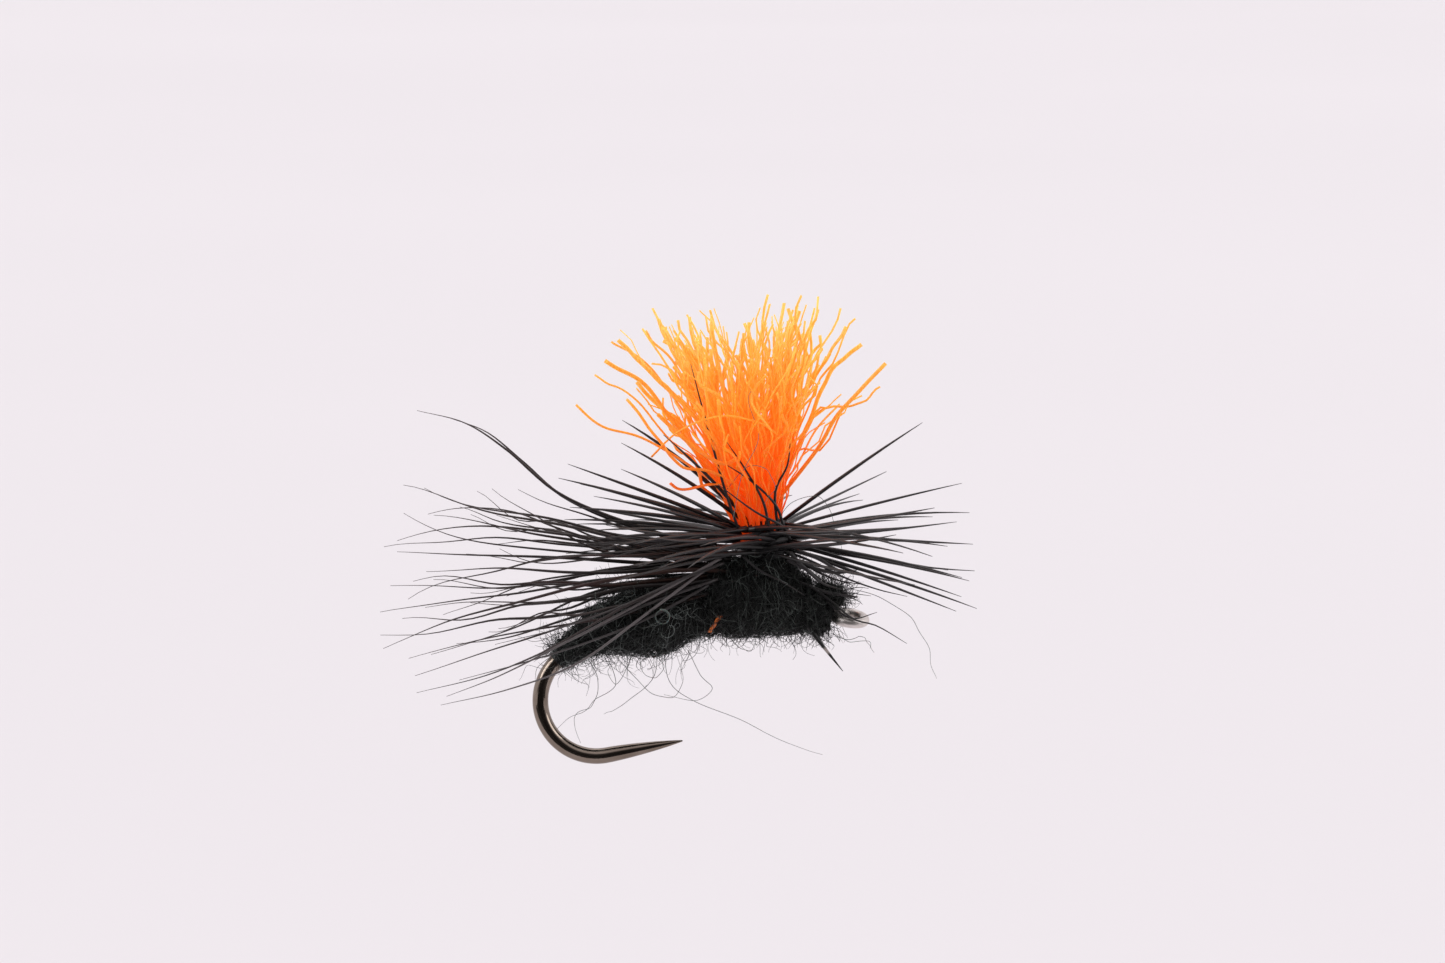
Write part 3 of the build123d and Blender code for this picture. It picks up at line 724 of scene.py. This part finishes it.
def wild_filaments(material):
    """The stray filaments that leave the fan: sideways, hooked at the tip or lying across it."""
    routes = [
        [(-3.3, -0.5, 3.6), (-4.9, -0.9, 4.9), (-6.8, -1.2, 6.1), (-8.2, -1.3, 6.5), (-9.1, -1.3, 7.3)],
        [(-3.4, -0.4, 3.8), (-5.6, -0.6, 5.6), (-7.2, -0.7, 7.4), (-8.5, -0.6, 8.1)],
        [(-3.4, 0.2, 3.8), (-5.5, 0.4, 6.0), (-7.0, 0.6, 7.8), (-8.3, 0.6, 8.6)],
        [(-3.3, 0.4, 3.8), (-5.2, 0.9, 6.4), (-6.8, 1.2, 8.4), (-8.0, 1.3, 9.2)],
        [(-3.2, -0.5, 3.8), (-5.0, -1.0, 6.6), (-6.6, -1.4, 8.3), (-7.7, -1.5, 9.4)],
        [(-3.2, 0.1, 3.8), (-4.6, 0.2, 6.6), (-5.9, 0.2, 8.6), (-6.8, 0.3, 9.6)],
        [(-3.1, -0.3, 3.8), (-4.5, -0.6, 7.0), (-5.8, -0.8, 8.8), (-6.4, -0.7, 10.0)],
        [(-2.5, -0.5, 3.9), (-1.2, -0.8, 5.6), (-0.3, -1.0, 7.1), (1.15, -1.1, 8.6)],
        [(-2.5, -0.4, 4.1), (-1.6, -0.6, 6.0), (-1.0, -0.8, 7.0), (0.2, -0.9, 7.2), (1.0, -0.9, 7.8)],
        [(-2.5, 0.3, 4.0), (-1.4, 0.6, 6.4), (-0.6, 0.8, 8.2), (0.4, 0.9, 9.1)],
        [(-2.6, 0.4, 4.0), (-1.9, 0.8, 6.8), (-0.9, 1.1, 8.4), (-0.1, 1.2, 9.7)],
        [(-6.6, -1.1, 5.5), (-5.7, -1.5, 6.4), (-4.4, -1.7, 6.9), (-3.3, -1.6, 6.8), (-2.5, -1.3, 6.3)],
        [(-6.4, -0.9, 6.9), (-5.4, -1.3, 6.0), (-4.3, -1.4, 5.3), (-3.6, -1.2, 5.6)],
        [(-3.3, -0.7, 4.2), (-4.6, -1.2, 5.0), (-5.6, -1.4, 5.2), (-6.3, -1.2, 6.0), (-7.4, -1.0, 7.4)],
        [(-3.2, -0.6, 3.9), (-4.3, -1.0, 4.6), (-5.4, -1.0, 4.4), (-6.0, -0.9, 4.6)],
    ]
    rng = np.random.default_rng(55)
    paths = smooth_paths(routes, 26) + waves(rng, len(routes), 26, 0.03, (1, 3))
    width = np.full((len(routes), 26), 0.070)
    roll = rng.uniform(0, np.pi, len(routes))
    nodes = ("post_filaments_rear", "post_filaments_front")
    strand_piece("wild_filaments", paths, width, material, nodes, flatness=0.5, roll=roll)


def waist_yarn(material):
    """The cut end of yarn that shows between the fibres at the waist, and a fleck on the thorax."""
    rng = np.random.default_rng(66)
    count, points = 12, 10
    t = np.linspace(0, 1, points)[None, :]
    at_waist = (np.arange(count) < 8)[:, None]
    x = np.where(at_waist, -4.68 + 0.32 * t, -3.08 + 0.12 * t) + rng.uniform(-0.05, 0.05, (count, 1))
    angle = np.pi + np.where(at_waist, 0.98 - 0.72 * t, -0.95 - 0.16 * t)
    angle = angle + rng.uniform(-0.08, 0.08, (count, 1))
    paths = on_body(x, angle, rng.uniform(-0.01, 0.05, (count, 1)) + 0 * t)
    paths = paths + waves(rng, count, points, 0.02)
    radii = taper(count, points, rng.uniform(0.022, 0.036, count), 0.016, 3)
    strand_piece("waist_yarn", paths, radii, material, ("yarn_tag",))


# ---- hackle


def barb_paths(rng, azimuth, slope, length, height, slant):
    """Barbs nearly straight from the hub's face outwards; slant turns each root back round the hub."""
    count, points = len(azimuth), 10
    out = np.stack([np.cos(azimuth), np.sin(azimuth), np.zeros(count)], -1)
    aim = out * np.cos(slope)[:, None] + UP * np.sin(slope)[:, None]
    foot = np.stack([np.cos(azimuth + slant), np.sin(azimuth + slant), np.zeros(count)], -1)
    root = foot * (HUB_R - 0.2) + UP * height[:, None]
    across = unit(np.cross(aim, UP))
    end = root + aim * length[:, None] + across * rng.normal(0, 0.12, (count, 1)) * length[:, None] / 3
    bow = UP * rng.normal(0.10, 0.16, (count, 1)) + across * rng.normal(0, 0.16, (count, 1))
    lead = root + aim * length[:, None] / 3 + bow
    pull = root + aim * length[:, None] * 2 / 3 + bow
    local = bezier(root, lead, pull, end, points)
    return at_post(local[..., 0], local[..., 1], local[..., 2])


def barb_piece(name, node, count, sector, slopes, slants, material, seed):
    """The barbs of one sector of the hackle; sector, slopes and slants are ranges in degrees."""
    rng = np.random.default_rng(seed)
    azimuth = np.radians(np.linspace(*sector, count) + rng.normal(0, 3.0, count))
    slope = np.radians(rng.uniform(*slopes, count))
    length = rng.uniform(5.0, 6.5, count)
    height = rng.uniform(-HUB_HALF_HEIGHT, HUB_HALF_HEIGHT, count)
    slant = np.radians(rng.uniform(*slants, count))
    paths = barb_paths(rng, azimuth, slope, length, height, slant)
    radii = taper(count, paths.shape[1], rng.uniform(0.060, 0.092, count), 0.012, 2.6)
    strand_piece(name, paths, radii, material, (node,), sides=7, flatness=0.8)


def placed_barbs(name, tips, root_r, node, material, seed):
    """Barbs that end at chosen tips, each from the side of the hub that faces its tip."""
    rng = np.random.default_rng(seed)
    tips = np.asarray(tips, dtype=float)
    count = len(tips)
    toward = tips - HUB
    flat = unit(toward * np.array([1.0, 1.0, 0.0]))
    lift = np.clip(toward[:, 2:3] * 0.12, -0.45, 0.5) + rng.uniform(-0.15, 0.15, (count, 1))
    root = HUB + flat * (HUB_R - 0.25) + UP * lift
    bow = rng.normal(0, 0.10, (count, 3)) + UP * 0.10
    lead = root + (tips - root) / 3 + bow
    pull = root + (tips - root) * 2 / 3 + bow
    paths = bezier(root, lead, pull, tips, 12)
    radii = taper(count, 12, rng.uniform(0.75, 1.1, count) * root_r, 0.010, 2.6)
    strand_piece(name, paths, radii, material, (node,), sides=7, flatness=0.8)


FRONT_TIPS = [
    (2.4, -0.6, 6.6), (3.7, -0.9, 4.6), (2.7, -2.2, 3.6), (4.0, 0.4, 3.5), (3.6, 1.4, 3.1), (3.2, -2.0, 2.6),
    (4.1, -0.2, 2.5), (3.7, -1.4, 1.5), (4.0, 0.5, 1.2), (3.7, -0.8, 0.8), (3.5, -1.6, 0.4), (4.25, 0.2, 0.3),
]
REAR_TIPS = [
    (-9.7, -1.2, 4.8), (-9.4, -0.4, 5.2), (-7.6, -2.4, 5.2), (-7.6, -1.6, 6.0), (-7.6, 0.4, 6.6),
    (-6.2, -2.0, 6.3), (-9.3, -2.0, 3.9), (-8.9, 1.4, 3.6), (-9.2, 0.6, 3.1), (-8.6, -2.8, 3.2),
    (-9.5, -1.0, 3.4), (-8.3, -3.0, 2.6), (-9.0, 1.0, 4.4), (-9.3, -1.6, 2.6), (-8.9, 0.2, 2.2),
    (-8.5, -2.4, 4.3),
]


def raised_barbs(material):
    """Barbs that stand up in front of the post and across its foot."""
    routes = [
        [(-3.7, -0.75, 3.0), (-4.2, -1.05, 4.5), (-4.8, -1.25, 6.7), (-5.3, -1.35, 8.6)],
        [(-2.7, -0.80, 3.0), (-2.9, -1.00, 4.0), (-3.5, -1.20, 5.1), (-4.1, -1.30, 6.0)],
        [(-2.4, -0.80, 3.0), (-2.5, -0.95, 4.3), (-2.1, -1.05, 5.2), (-2.0, -1.05, 6.0)],
        [(-2.2, -0.75, 3.1), (-2.5, -0.95, 3.9), (-3.3, -1.15, 4.7), (-4.2, -1.30, 5.3)],
        [(-2.0, -0.70, 2.7), (-2.3, -1.00, 3.2), (-3.2, -1.20, 3.7), (-4.4, -1.30, 4.6)],
    ]
    paths = smooth_paths(routes, 16)
    radii = taper(len(routes), 16, 0.062, 0.012)
    nodes = ("hackle_barbs_raised",)
    strand_piece("raised_barbs", paths, radii, material, nodes, sides=7, flatness=0.8)


def head_barbs(material):
    """Thin dark barbs that lie over the head and past the eye."""
    routes = [
        [(-2.2, -0.75, 2.35), (-1.2, -0.85, 1.95), (-0.2, -0.85, 1.45), (0.9, -0.8, 1.05), (1.9, -0.7, 0.8)],
        [(-1.9, -0.80, 2.10), (-1.2, -0.85, 1.70), (-0.4, -0.80, 1.35), (0.4, -0.75, 1.2)],
        [(-1.4, -0.70, 1.20), (-0.7, -0.72, 0.70), (0.1, -0.70, 0.05), (0.9, -0.6, -0.2), (1.9, -0.5, -0.8)],
        [(-1.0, -0.65, 0.90), (-0.4, -0.66, 0.30), (0.15, -0.62, 0.05), (0.9, -0.5, 0.25)],
        [(-3.6, -1.00, 2.20), (-3.0, -1.12, 1.70), (-2.3, -1.10, 1.35), (-1.5, -0.95, 0.85)],
        [(-2.0, -0.95, 2.30), (-1.7, -1.00, 1.95), (-1.2, -0.95, 1.55), (-0.8, -0.85, 1.30)],
        [(-1.8, -0.85, 2.35), (-1.1, -0.90, 2.10), (-0.5, -0.88, 1.75), (0.1, -0.80, 1.55)],
        [(-2.1, -0.90, 2.05), (-1.5, -0.98, 1.75), (-0.9, -0.92, 1.25), (-0.1, -0.80, 1.00)],
        [(-1.7, -0.88, 1.95), (-1.0, -0.90, 1.70), (-0.3, -0.80, 1.60), (0.3, -0.70, 1.70)],
    ]
    paths = smooth_paths(routes, 16)
    root_r = np.array([0.045] * 5 + [0.075] * 4)
    radii = taper(len(routes), 16, root_r, 0.008, 1.8)
    nodes = ("hackle_barbs_raised",)
    strand_piece("head_barbs", paths, radii, material, nodes, sides=7)


def quill_stub(material):
    """The trimmed quill that lies along the head, frayed at its end."""
    route = [(-1.7, -0.55, 1.25), (-0.75, -0.66, 0.92), (-0.2, -0.62, 0.84), (0.25, -0.55, 0.76)]
    frays = [
        [(-0.4, -0.62, 0.88), (0.0, -0.64, 1.05), (0.35, -0.66, 1.10), (0.62, -0.66, 1.06)],
        [(-0.3, -0.62, 0.86), (0.1, -0.62, 0.72), (0.3, -0.60, 0.62), (0.42, -0.60, 0.52)],
        [(-0.5, -0.62, 0.90), (-0.1, -0.58, 0.92), (0.4, -0.52, 0.84), (0.7, -0.50, 0.80)],
    ]
    paths = smooth_paths([route] + frays, 16)
    radii = np.vstack([taper(1, 16, 0.085, 0.035, 3), taper(3, 16, 0.028, 0.008, 1.5)])
    nodes = ("hackle_butt",)
    strand_piece("quill_stub", paths, radii, material, nodes, sides=8, flatness=0.7)


def quill_spike(material):
    """The trimmed quill under the head: black, with a pale band where its skin has split."""
    points = 26
    route = [(-1.55, -0.40, 0.15), (-1.28, -0.62, -0.36), (-0.78, -0.70, -1.02), (-0.24, -0.72, -1.70)]
    path = smooth_path(route, points)
    radius = 0.012 + 0.088 * (1 - np.linspace(0, 1, points) ** 1.6)
    nodes = ("quill_spike",)
    strand_piece("quill_spike_barb", path[None], radius[None], material, nodes, sides=12)


# ---- long hair

HAIR_TIPS = {
    "upper": [(-14.8, 4.5), (-14.1, 4.3), (-15.0, 3.5), (-13.8, 3.5), (-14.1, 3.2), (-13.2, 3.9),
              (-12.4, 4.1)],
    "middle": [(-15.0, 2.8), (-15.5, 2.5), (-15.2, 2.1), (-14.2, 1.8), (-15.2, 1.1), (-14.5, 0.6),
               (-14.2, 0.3)],
    "lower": [(-15.7, -0.1), (-15.6, -0.6), (-15.6, -1.0), (-14.3, -1.4), (-14.5, -1.7), (-14.9, 0.1)],
}


LOWEST_TIP_Z = -1.7
TIP_RANGE_Z = 6.2
HAIR_POINTS = 28


def hair_radii(points, root):
    """Hair that stays stout for half its length and ends in a long wisp."""
    t = np.linspace(0, 1, points)[None, :]
    return 0.008 + (np.asarray(root).reshape(-1, 1) - 0.008) * (1 - t**1.9) ** 1.4


def strand_hair(group, paths, radii, material):
    """One group of hairs in the place of its node."""
    nodes = ("wing_hair_" + group,)
    strand_piece("long_hair_" + group, paths, radii, material, nodes, sides=7)


def hair_piece(group, count, flank, material, seed):
    """Long hairs of one group, swept back over the abdomen; flank 1 keeps them to its two sides."""
    rng = np.random.default_rng(seed)
    known = np.array(HAIR_TIPS[group])
    extra = max(0, count - len(known))
    tip_z = np.concatenate([known[:, 1], rng.uniform(known[:, 1].min(), known[:, 1].max(), extra)])
    tip_x = np.concatenate([known[:, 0], rng.uniform(-14.6, -11.2, extra)])
    count = len(tip_z)
    side = np.linspace(-1, 1, count)[rng.permutation(count)]
    side = side + flank * (np.sign(side) * rng.uniform(0.9, 1.3, count) - side)
    lift = (tip_z - LOWEST_TIP_Z) / TIP_RANGE_Z
    root_x = rng.uniform(-4.6, -3.9, count)
    root_z = 1.15 + 1.15 * lift + rng.normal(0, 0.22, count)
    root = np.stack([root_x, side * 0.5, root_z], -1)
    tip = np.stack([tip_x, side * rng.uniform(0.8, 2.2, count), tip_z], -1)
    run = tip - root
    ease = rng.normal(0, 0.55, (count, 2))
    lead = root + run * np.array([0.33, 0.6, 0.24]) + UP * ease[:, :1]
    pull = root + run * np.array([0.68, 0.9, 0.60]) + UP * ease[:, 1:]
    paths = bezier(root, lead, pull, tip, HAIR_POINTS)
    paths = paths + waves(rng, count, HAIR_POINTS, 0.17, (0.6, 1.8))
    radii = hair_radii(HAIR_POINTS, rng.uniform(0.050, 0.082, count))
    strand_hair(group, paths, radii, material)


def rising_hair(material):
    """The two hairs that leave the rest and curve up at the rear."""
    routes = [
        [(-4.3, -0.2, 2.3), (-7.0, -0.5, 3.1), (-9.6, -0.8, 4.2), (-11.4, -0.9, 5.7), (-12.8, -0.8, 6.6),
         (-14.4, -0.6, 7.0)],
        [(-4.3, 0.3, 2.3), (-7.2, 0.4, 3.0), (-9.5, 0.4, 4.0), (-10.9, 0.4, 5.2), (-12.1, 0.3, 6.2),
         (-13.4, 0.3, 6.7)],
    ]
    paths = smooth_paths(routes, 30)
    strand_hair("rising", paths, hair_radii(30, np.full(len(routes), 0.066)), material)


def near_hair(material):
    """Hairs that cross the near side of the abdomen."""
    routes = [
        [(-4.3, -0.95, 2.10), (-6.6, -1.35, 0.85), (-9.4, -1.70, -0.60), (-11.6, -1.9, -1.7),
         (-13.4, -2.0, -2.4)],
        [(-4.6, -0.98, 1.90), (-6.9, -1.40, 0.20), (-9.1, -1.65, -1.35), (-11.4, -1.8, -2.2),
         (-13.6, -1.9, -2.7)],
        [(-4.4, -0.90, 1.40), (-7.0, -1.35, 0.50), (-9.6, -1.60, -0.70), (-12.0, -1.7, -1.7),
         (-14.4, -1.8, -2.3)],
        [(-4.2, -0.95, 1.95), (-5.8, -1.25, 1.35), (-7.6, -1.45, 0.55), (-9.6, -1.6, -0.15),
         (-11.8, -1.7, -0.7)],
        [(-4.7, -0.90, 1.20), (-6.7, -1.30, 0.15), (-8.6, -1.50, -0.60), (-10.8, -1.6, -1.3),
         (-13.0, -1.6, -1.9)],
    ]
    paths = smooth_paths(routes, 26)
    strand_hair("near", paths, hair_radii(26, np.full(len(routes), 0.054)), material)


# ---- the fly


def dubbing(fur, pale_fur, felt):
    """Abdomen, thorax and head, with the collar of fur under the hackle and the lump on the nose."""
    tail, waist, neck, nose = BODY_X[0], -4.60, -1.36, BODY_X[-1]
    stretches = [
        ("abdomen", tail, waist, 1300, 1100, 1.3, pale_fur, 101),
        ("thorax", waist, neck, 1200, 900, 0.9, fur, 102),
        ("head", neck, nose, 450, 500, 0.9, fur, 103),
    ]
    for part, start, end, laid, loose, longest, strand, seed in stretches:
        node = part + "_dubbing"
        fur_core(part + "_felt", start, end, node, felt)
        fur_fibres(part + "_fibres", start, end, laid, loose, longest, node, strand, seed)
    collar, nose_lump = (-2.86, 0.0, 1.74), (-0.78, 0.0, 0.70)
    felt_lump("collar_felt", collar, (1.10, 1.00, 0.42), "thorax_dubbing", felt, 7)
    felt_lump("nose_felt", nose_lump, (0.55, 0.60, 0.46), "head_dubbing", felt, 3)
    lumps = [
        ("tail_fibres", 300, (-9.62, 0.0, -1.12), (0.38, 0.42, 0.42), 0.55, "abdomen_dubbing", 106),
        ("collar_fibres", 640, collar, (1.2, 1.05, 0.48), 0.8, "thorax_dubbing", 104),
        ("nose_fibres", 560, (-0.70, 0.0, 0.70), (0.62, 0.62, 0.52), 0.6, "head_dubbing", 105),
    ]
    for name, count, centre, radii, longest, node, seed in lumps:
        lump_fibres(name, count, centre, radii, longest, node, fur, seed)
    stray_fibres(pale_fibre_material())


def post(yarn):
    """The crown's filaments by sector, from degrees to degrees round the post, and the yarn at the waist."""
    groups = [
        ("centre", 96, (0, 360), 201, 0.0),
        ("front", 58, (-45, 45), 202, 0.5),
        ("far", 58, (45, 135), 203, 0.5),
        ("rear", 66, (135, 225), 204, 0.5),
        ("near", 62, (225, 315), 205, 0.5),
    ]
    for group, count, sector, seed, inner in groups:
        crown_piece(group, count, sector, yarn, seed, inner)
    wild_filaments(yarn)
    # the waist yarn's darker colour is painted shade
    waist_yarn(shaded_waist_yarn_material())


def hackle_feather(hackle):
    """Every barb of the hackle and the trimmed ends of its quill."""
    sectors = [
        ("front", "front", 5, (-50, 50), (-15, 12), (0, 0), 301),
        ("far", "far", 18, (50, 130), (-10, 12), (0, 0), 302),
        ("rear", "rear", 8, (130, 230), (-6, 14), (0, 0), 303),
        ("near_rear", "near", 10, (196, 240), (-5, 10), (35, 85), 304),
        ("near_front", "near", 6, (302, 340), (-10, 8), (-70, -25), 307),
    ]
    for name, side, count, sector, slopes, slants, seed in sectors:
        barb_piece("barbs_" + name, "hackle_barbs_" + side, count, sector, slopes, slants, hackle, seed)
    placed_barbs("barbs_front_long", FRONT_TIPS, 0.085, "hackle_barbs_front", hackle, 305)
    placed_barbs("barbs_rear_long", REAR_TIPS, 0.104, "hackle_barbs_rear", hackle, 306)
    raised_barbs(hackle)
    head_barbs(hackle)
    quill_stub(hackle)
    quill_spike(spike_material())


def build_fly():
    """Every piece of the fly, and better materials for the nodes that stay."""
    hackle, hair, yarn, thread = hackle_material(), hair_material(), yarn_painted_light_material(), thread_material()
    wire = hook_material("bronzed_wire", (0.17, 0.135, 0.11), (0.30, 0.25, 0.21), 0.08, 0.17)
    # The eye wire is painted far paler than the rest of the wire: a painted highlight, not the wire's own
    # colour.
    eye = hook_material("eye_wire_painted_highlight", (0.60, 0.55, 0.52), (0.80, 0.75, 0.72), 0.35, 0.50)
    fur = fur_material("black_dubbing_fibre", (0.14, 0.165, 0.15), 0.22)
    pale_fur = fur_material("greying_dubbing_fibre", (0.22, 0.25, 0.235), 0.25)
    hook_pieces(wire, eye)
    dubbing(fur, pale_fur, packed_fur_material())
    post(yarn)
    hackle_feather(hackle)
    for group, count, flank, seed in (("upper", 11, 0, 401), ("middle", 16, 0, 402), ("lower", 12, 1, 403)):
        hair_piece(group, count, flank, hair, seed)
    rising_hair(hair)
    # the near hairs take the paler material: a painted highlight
    near_hair(grey_hair_painted_highlight_material())
    kept = {
        "post_core": yarn, "post_root": yarn, "hackle_stem": hackle,
        "wing_butts": hair, "thread_base": thread, "head_thread": thread, "root_binding": thread,
        "post_binding": thread, "wing_binding": thread,
    }
    for name, material in kept.items():
        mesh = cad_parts[name].data
        mesh.materials.clear()
        mesh.materials.append(material)


# ---- studio

VIEW_CENTRE = np.array([-4.25, 0.0, 4.58])
VIEW_DISTANCE = 260.0
VIEW_ELEVATION = math.radians(5.0)
VIEW_WIDTH = 48.17
FLOOR_Z = -18.0
DARK_SIDE_DIP = math.radians(-25.0)


def floor():
    """A wide pale floor well below the fly."""
    mesh = bpy.data.meshes.new("floor")
    half = 4.0
    corners = [(x, y, FLOOR_Z * MM) for x, y in ((-half, -half), (half, -half), (half, half), (-half, half))]
    mesh.from_pydata(corners, [], [(0, 1, 2, 3)])
    piece = bpy.data.objects.new("floor", mesh)
    bpy.context.scene.collection.objects.link(piece)
    material, nodes, links, shader = new_material("pale_paper")
    stops = [(0.3, (0.700, 0.675, 0.694)), (0.7, (0.716, 0.691, 0.710))]
    tinted(nodes, links, noise_of(nodes, links, 3), stops, shader.inputs["Base Color"])
    shader.inputs["Roughness"].default_value = 0.9
    mesh.materials.append(material)


def dark_card():
    """A matt black card on the camera's side, seen only in reflections, as the dark line in the wire."""
    profile = [(-20.0, FLOOR_Z + 0.5), (-70.0, FLOOR_Z + 0.5), (-85.0, 4.0)]
    verts = [(x * MM, y * MM, z * MM) for y, z in profile for x in (-80.0, 70.0)]
    mesh = bpy.data.meshes.new("dark_card")
    mesh.from_pydata(verts, [], [(0, 1, 3, 2), (2, 3, 5, 4)])
    material, nodes, links, shader = new_material("black_card")
    fine_bump(nodes, links, shader, 3000, 0.2, 0.00005)
    shader.inputs["Base Color"].default_value = (0.015, 0.014, 0.014, 1)
    shader.inputs["Roughness"].default_value = 0.95
    mesh.materials.append(material)
    card = bpy.data.objects.new("dark_card", mesh)
    bpy.context.scene.collection.objects.link(card)
    card.visible_camera = card.visible_diffuse = card.visible_shadow = card.visible_transmission = False


def window_light(name, toward, power, spread):
    """Broad even light from far away; toward points from the fly to the light."""
    light = bpy.data.lights.new(name, "SUN")
    light.angle = math.radians(spread)
    light.energy = power
    lamp = bpy.data.objects.new(name, light)
    lamp.rotation_euler = (-Vector(toward)).to_track_quat("-Z", "Y").to_euler()
    bpy.context.scene.collection.objects.link(lamp)


def studio():
    """Camera, broad lights and a pale room that is darker on the camera's side and below."""
    scene = bpy.context.scene
    camera = bpy.data.cameras.new("camera")
    camera.sensor_width = 36.0
    camera.lens = 36.0 * VIEW_DISTANCE / VIEW_WIDTH
    camera.clip_start = 0.01
    holder = bpy.data.objects.new("camera", camera)
    back = np.array([0.0, -math.cos(VIEW_ELEVATION), math.sin(VIEW_ELEVATION)])
    holder.location = (VIEW_CENTRE + VIEW_DISTANCE * back) * MM
    holder.rotation_euler = (math.pi / 2 - VIEW_ELEVATION, 0, 0)
    scene.collection.objects.link(holder)
    scene.camera = holder
    scene.view_settings.view_transform = "Standard"
    window_light("left_light", (-1.0, -0.55, 0.65), 0.9, 35)
    window_light("right_light", (1.0, -0.35, 0.5), 0.7, 35)
    window_light("top_light", (0.05, 0.1, 1.0), 0.5, 50)
    world = bpy.data.worlds.new("room")
    scene.world = world
    world.use_nodes = True
    nodes, links = world.node_tree.nodes, world.node_tree.links
    coords = nodes.new("ShaderNodeTexCoord")
    tilt = nodes.new("ShaderNodeMapping")
    tilt.inputs["Rotation"].default_value = (DARK_SIDE_DIP, 0, 0)
    split = nodes.new("ShaderNodeSeparateXYZ")
    place = nodes.new("ShaderNodeMapRange")
    place.inputs["From Min"].default_value = -1.0
    place.inputs["From Max"].default_value = 1.0
    ramp = colour_ramp(nodes, [(0.19, (0.05, 0.047, 0.048)), (0.36, (0.90, 0.86, 0.885))])
    links.new(coords.outputs["Generated"], tilt.inputs["Vector"])
    links.new(tilt.outputs["Vector"], split.inputs["Vector"])
    links.new(split.outputs["Y"], place.inputs["Value"])
    links.new(place.outputs["Result"], ramp.inputs["Fac"])
    links.new(ramp.outputs["Color"], nodes["Background"].inputs["Color"])
    nodes["Background"].inputs["Strength"].default_value = 1.0


build_fly()
floor()
dark_card()
studio()
